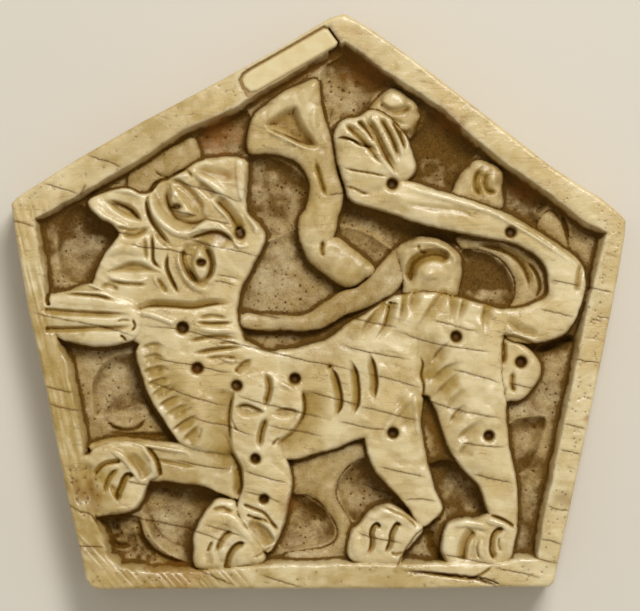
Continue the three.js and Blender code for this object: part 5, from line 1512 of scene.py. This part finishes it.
# %% Crazing, stains, cracks and holes
for space, scale, thread in ((drawn, 0.7, 0.012), (even, 0.5, 0.01)):
    wander = maths("ABSOLUTE", minus(clouds(space, scale, 2, 0.5), 0.5))
    threads = minus(1.0, between(wander, 0.2 * thread, thread))
    threads = times(threads, times(between(broad, 0.4, 0.7), 0.5))
    dirty_and_shaded = tint(threads, dirty_and_shaded, colour(120, 88, 32))
dirty_and_shaded = tint(reading("warm", 0.6), dirty_and_shaded, colour(156, 94, 36))
dirty_and_shaded = tint(reading("stained", 0.55), dirty_and_shaded, colour(132, 92, 32))
marks = larger(reading("crack", 0.95), reading("pit", 0.7))
marks = larger(marks, reading("bore", 0.75))
final = tint(marks, dirty_and_shaded, colour(80, 46, 0))
print("with cracks and holes:", len(tree.nodes), "nodes")

# %% [markdown]
# Gloss follows the same story: polished crests shine, and dirt, painted shade and cracks are matt. A little
# light enters the ivory and comes out again warmer. The finest unevenness is only a bump for the light.

# %% Gloss, depth and bumps
rough = plus(times(dirt_and_shade_film, 0.35), times(fine, 0.16))
rough = plus(rough, reading("crest", -0.13))
matt = larger(larger(dirt_and_shade_film, marks), reading("stained", 0.8))
lumps = plus(plus(times(fine, 0.5), times(streak, 0.4)), mid)
feed(tree.nodes["Principled BSDF"], {
    "Base Color": final,
    "Roughness": plus(rough, 0.19, clamp=True),
    "IOR": 1.54,
    "Specular IOR Level": minus(0.55, times(matt, 0.5, clamp=True)),
    "Subsurface Weight": 0.12,
    "Subsurface Radius": (1.0, 0.7, 0.35),
    "Subsurface Scale": 0.6 * MM,
    "Normal": bumps(0.75, 0.1, minus(lumps, times(specks, 0.8))),
})
body.data.materials.clear()
body.data.materials.append(ivory)
print("old ivory mixed from", len(tree.nodes), "nodes")

# %% The paler ivory of the strip
pale, tree = new_material("pale_ivory")
even, drawn = grain_space(30), grain_space(30, stretch=7)
mid = clouds(even, 0.5, 4)
fine = clouds(even, 5, 6, 0.7)
streak = clouds(drawn, 1.2, 4)
base = tint(between(mid, 0.35, 0.7), colour(221, 203, 155), colour(212, 190, 136))
base = tint(times(between(streak, 0.5, 0.8), 0.3), base, colour(200, 176, 118))
base = tint(times(between(fine, 0.6, 0.72), 0.3), base, colour(160, 132, 78))
feed(tree.nodes["Principled BSDF"], {
    "Base Color": base,
    "Roughness": plus(times(fine, 0.2), 0.3),
    "Normal": bumps(0.2, 0.04, fine),
})
strip.data.materials.clear()
strip.data.materials.append(pale)
print("pale ivory mixed from", len(tree.nodes), "nodes")

# %% [markdown]
# ## The picture
# The plaque lies on pale paper under one soft lamp from above and behind, and a weak even light fills the
# shadows. The camera looks straight down and stands so far off that the sides hardly show.

# %% Floor
floor_mesh = bpy.data.meshes.new("floor")
floor_mesh.from_pydata([(-1, -1, 0), (1, -1, 0), (1, 1, 0), (-1, 1, 0)], [], [(0, 1, 2, 3)])
floor = new_object("floor", floor_mesh)
paper, tree = new_material("pale_paper")
feed(tree.nodes["Principled BSDF"], {"Base Color": colour(214, 207, 193), "Roughness": 0.8})
floor_mesh.materials.append(paper)
print("floor:", len(floor_mesh.polygons), "face")

# %% Light
LAMP_PLACE, PLAQUE_MIDDLE = (0.14, 0.33, 0.50), (0, 0, 0.005)
world = bpy.data.worlds.new("studio")
bpy.context.scene.world = world
world.use_nodes = True
tree = world.node_tree
feed(tree.nodes["Background"], {"Color": (1.0, 0.97, 0.92, 1), "Strength": 0.475})
lamp_data = bpy.data.lights.new("key", "AREA")
lamp_data.size = 0.22
lamp_data.energy = 2.66
lamp = new_object("key", lamp_data)
lamp.location = LAMP_PLACE
away = Vector(np.array(LAMP_PLACE) - np.array(PLAQUE_MIDDLE))
lamp.rotation_euler = away.to_track_quat("Z", "Y").to_euler()
print("lamp", round(away.length, 2), "m from the plaque")

# %% Camera
PICTURE_WIDTH, PLAQUE_WIDTH = 640, 615  # in pixels of the picture
PIXEL = 70 / PLAQUE_WIDTH  # in millimetres on the plaque
DISTANCE = 450  # millimetres above the border
SENSOR = 36
camera_data = bpy.data.cameras.new("camera")
camera = new_object("camera", camera_data)
bpy.context.scene.camera = camera
camera.location = (0.17 * MM, -0.455 * MM, (BORDER_TOP + DISTANCE) * MM)
camera_data.sensor_width = SENSOR
camera_data.lens = SENSOR * DISTANCE / (PICTURE_WIDTH * PIXEL)
camera_data.clip_start = 0.01
bpy.context.scene.view_settings.view_transform = "Standard"
print("one pixel of the picture is", round(PIXEL, 3), "mm, lens", round(camera_data.lens), "mm")
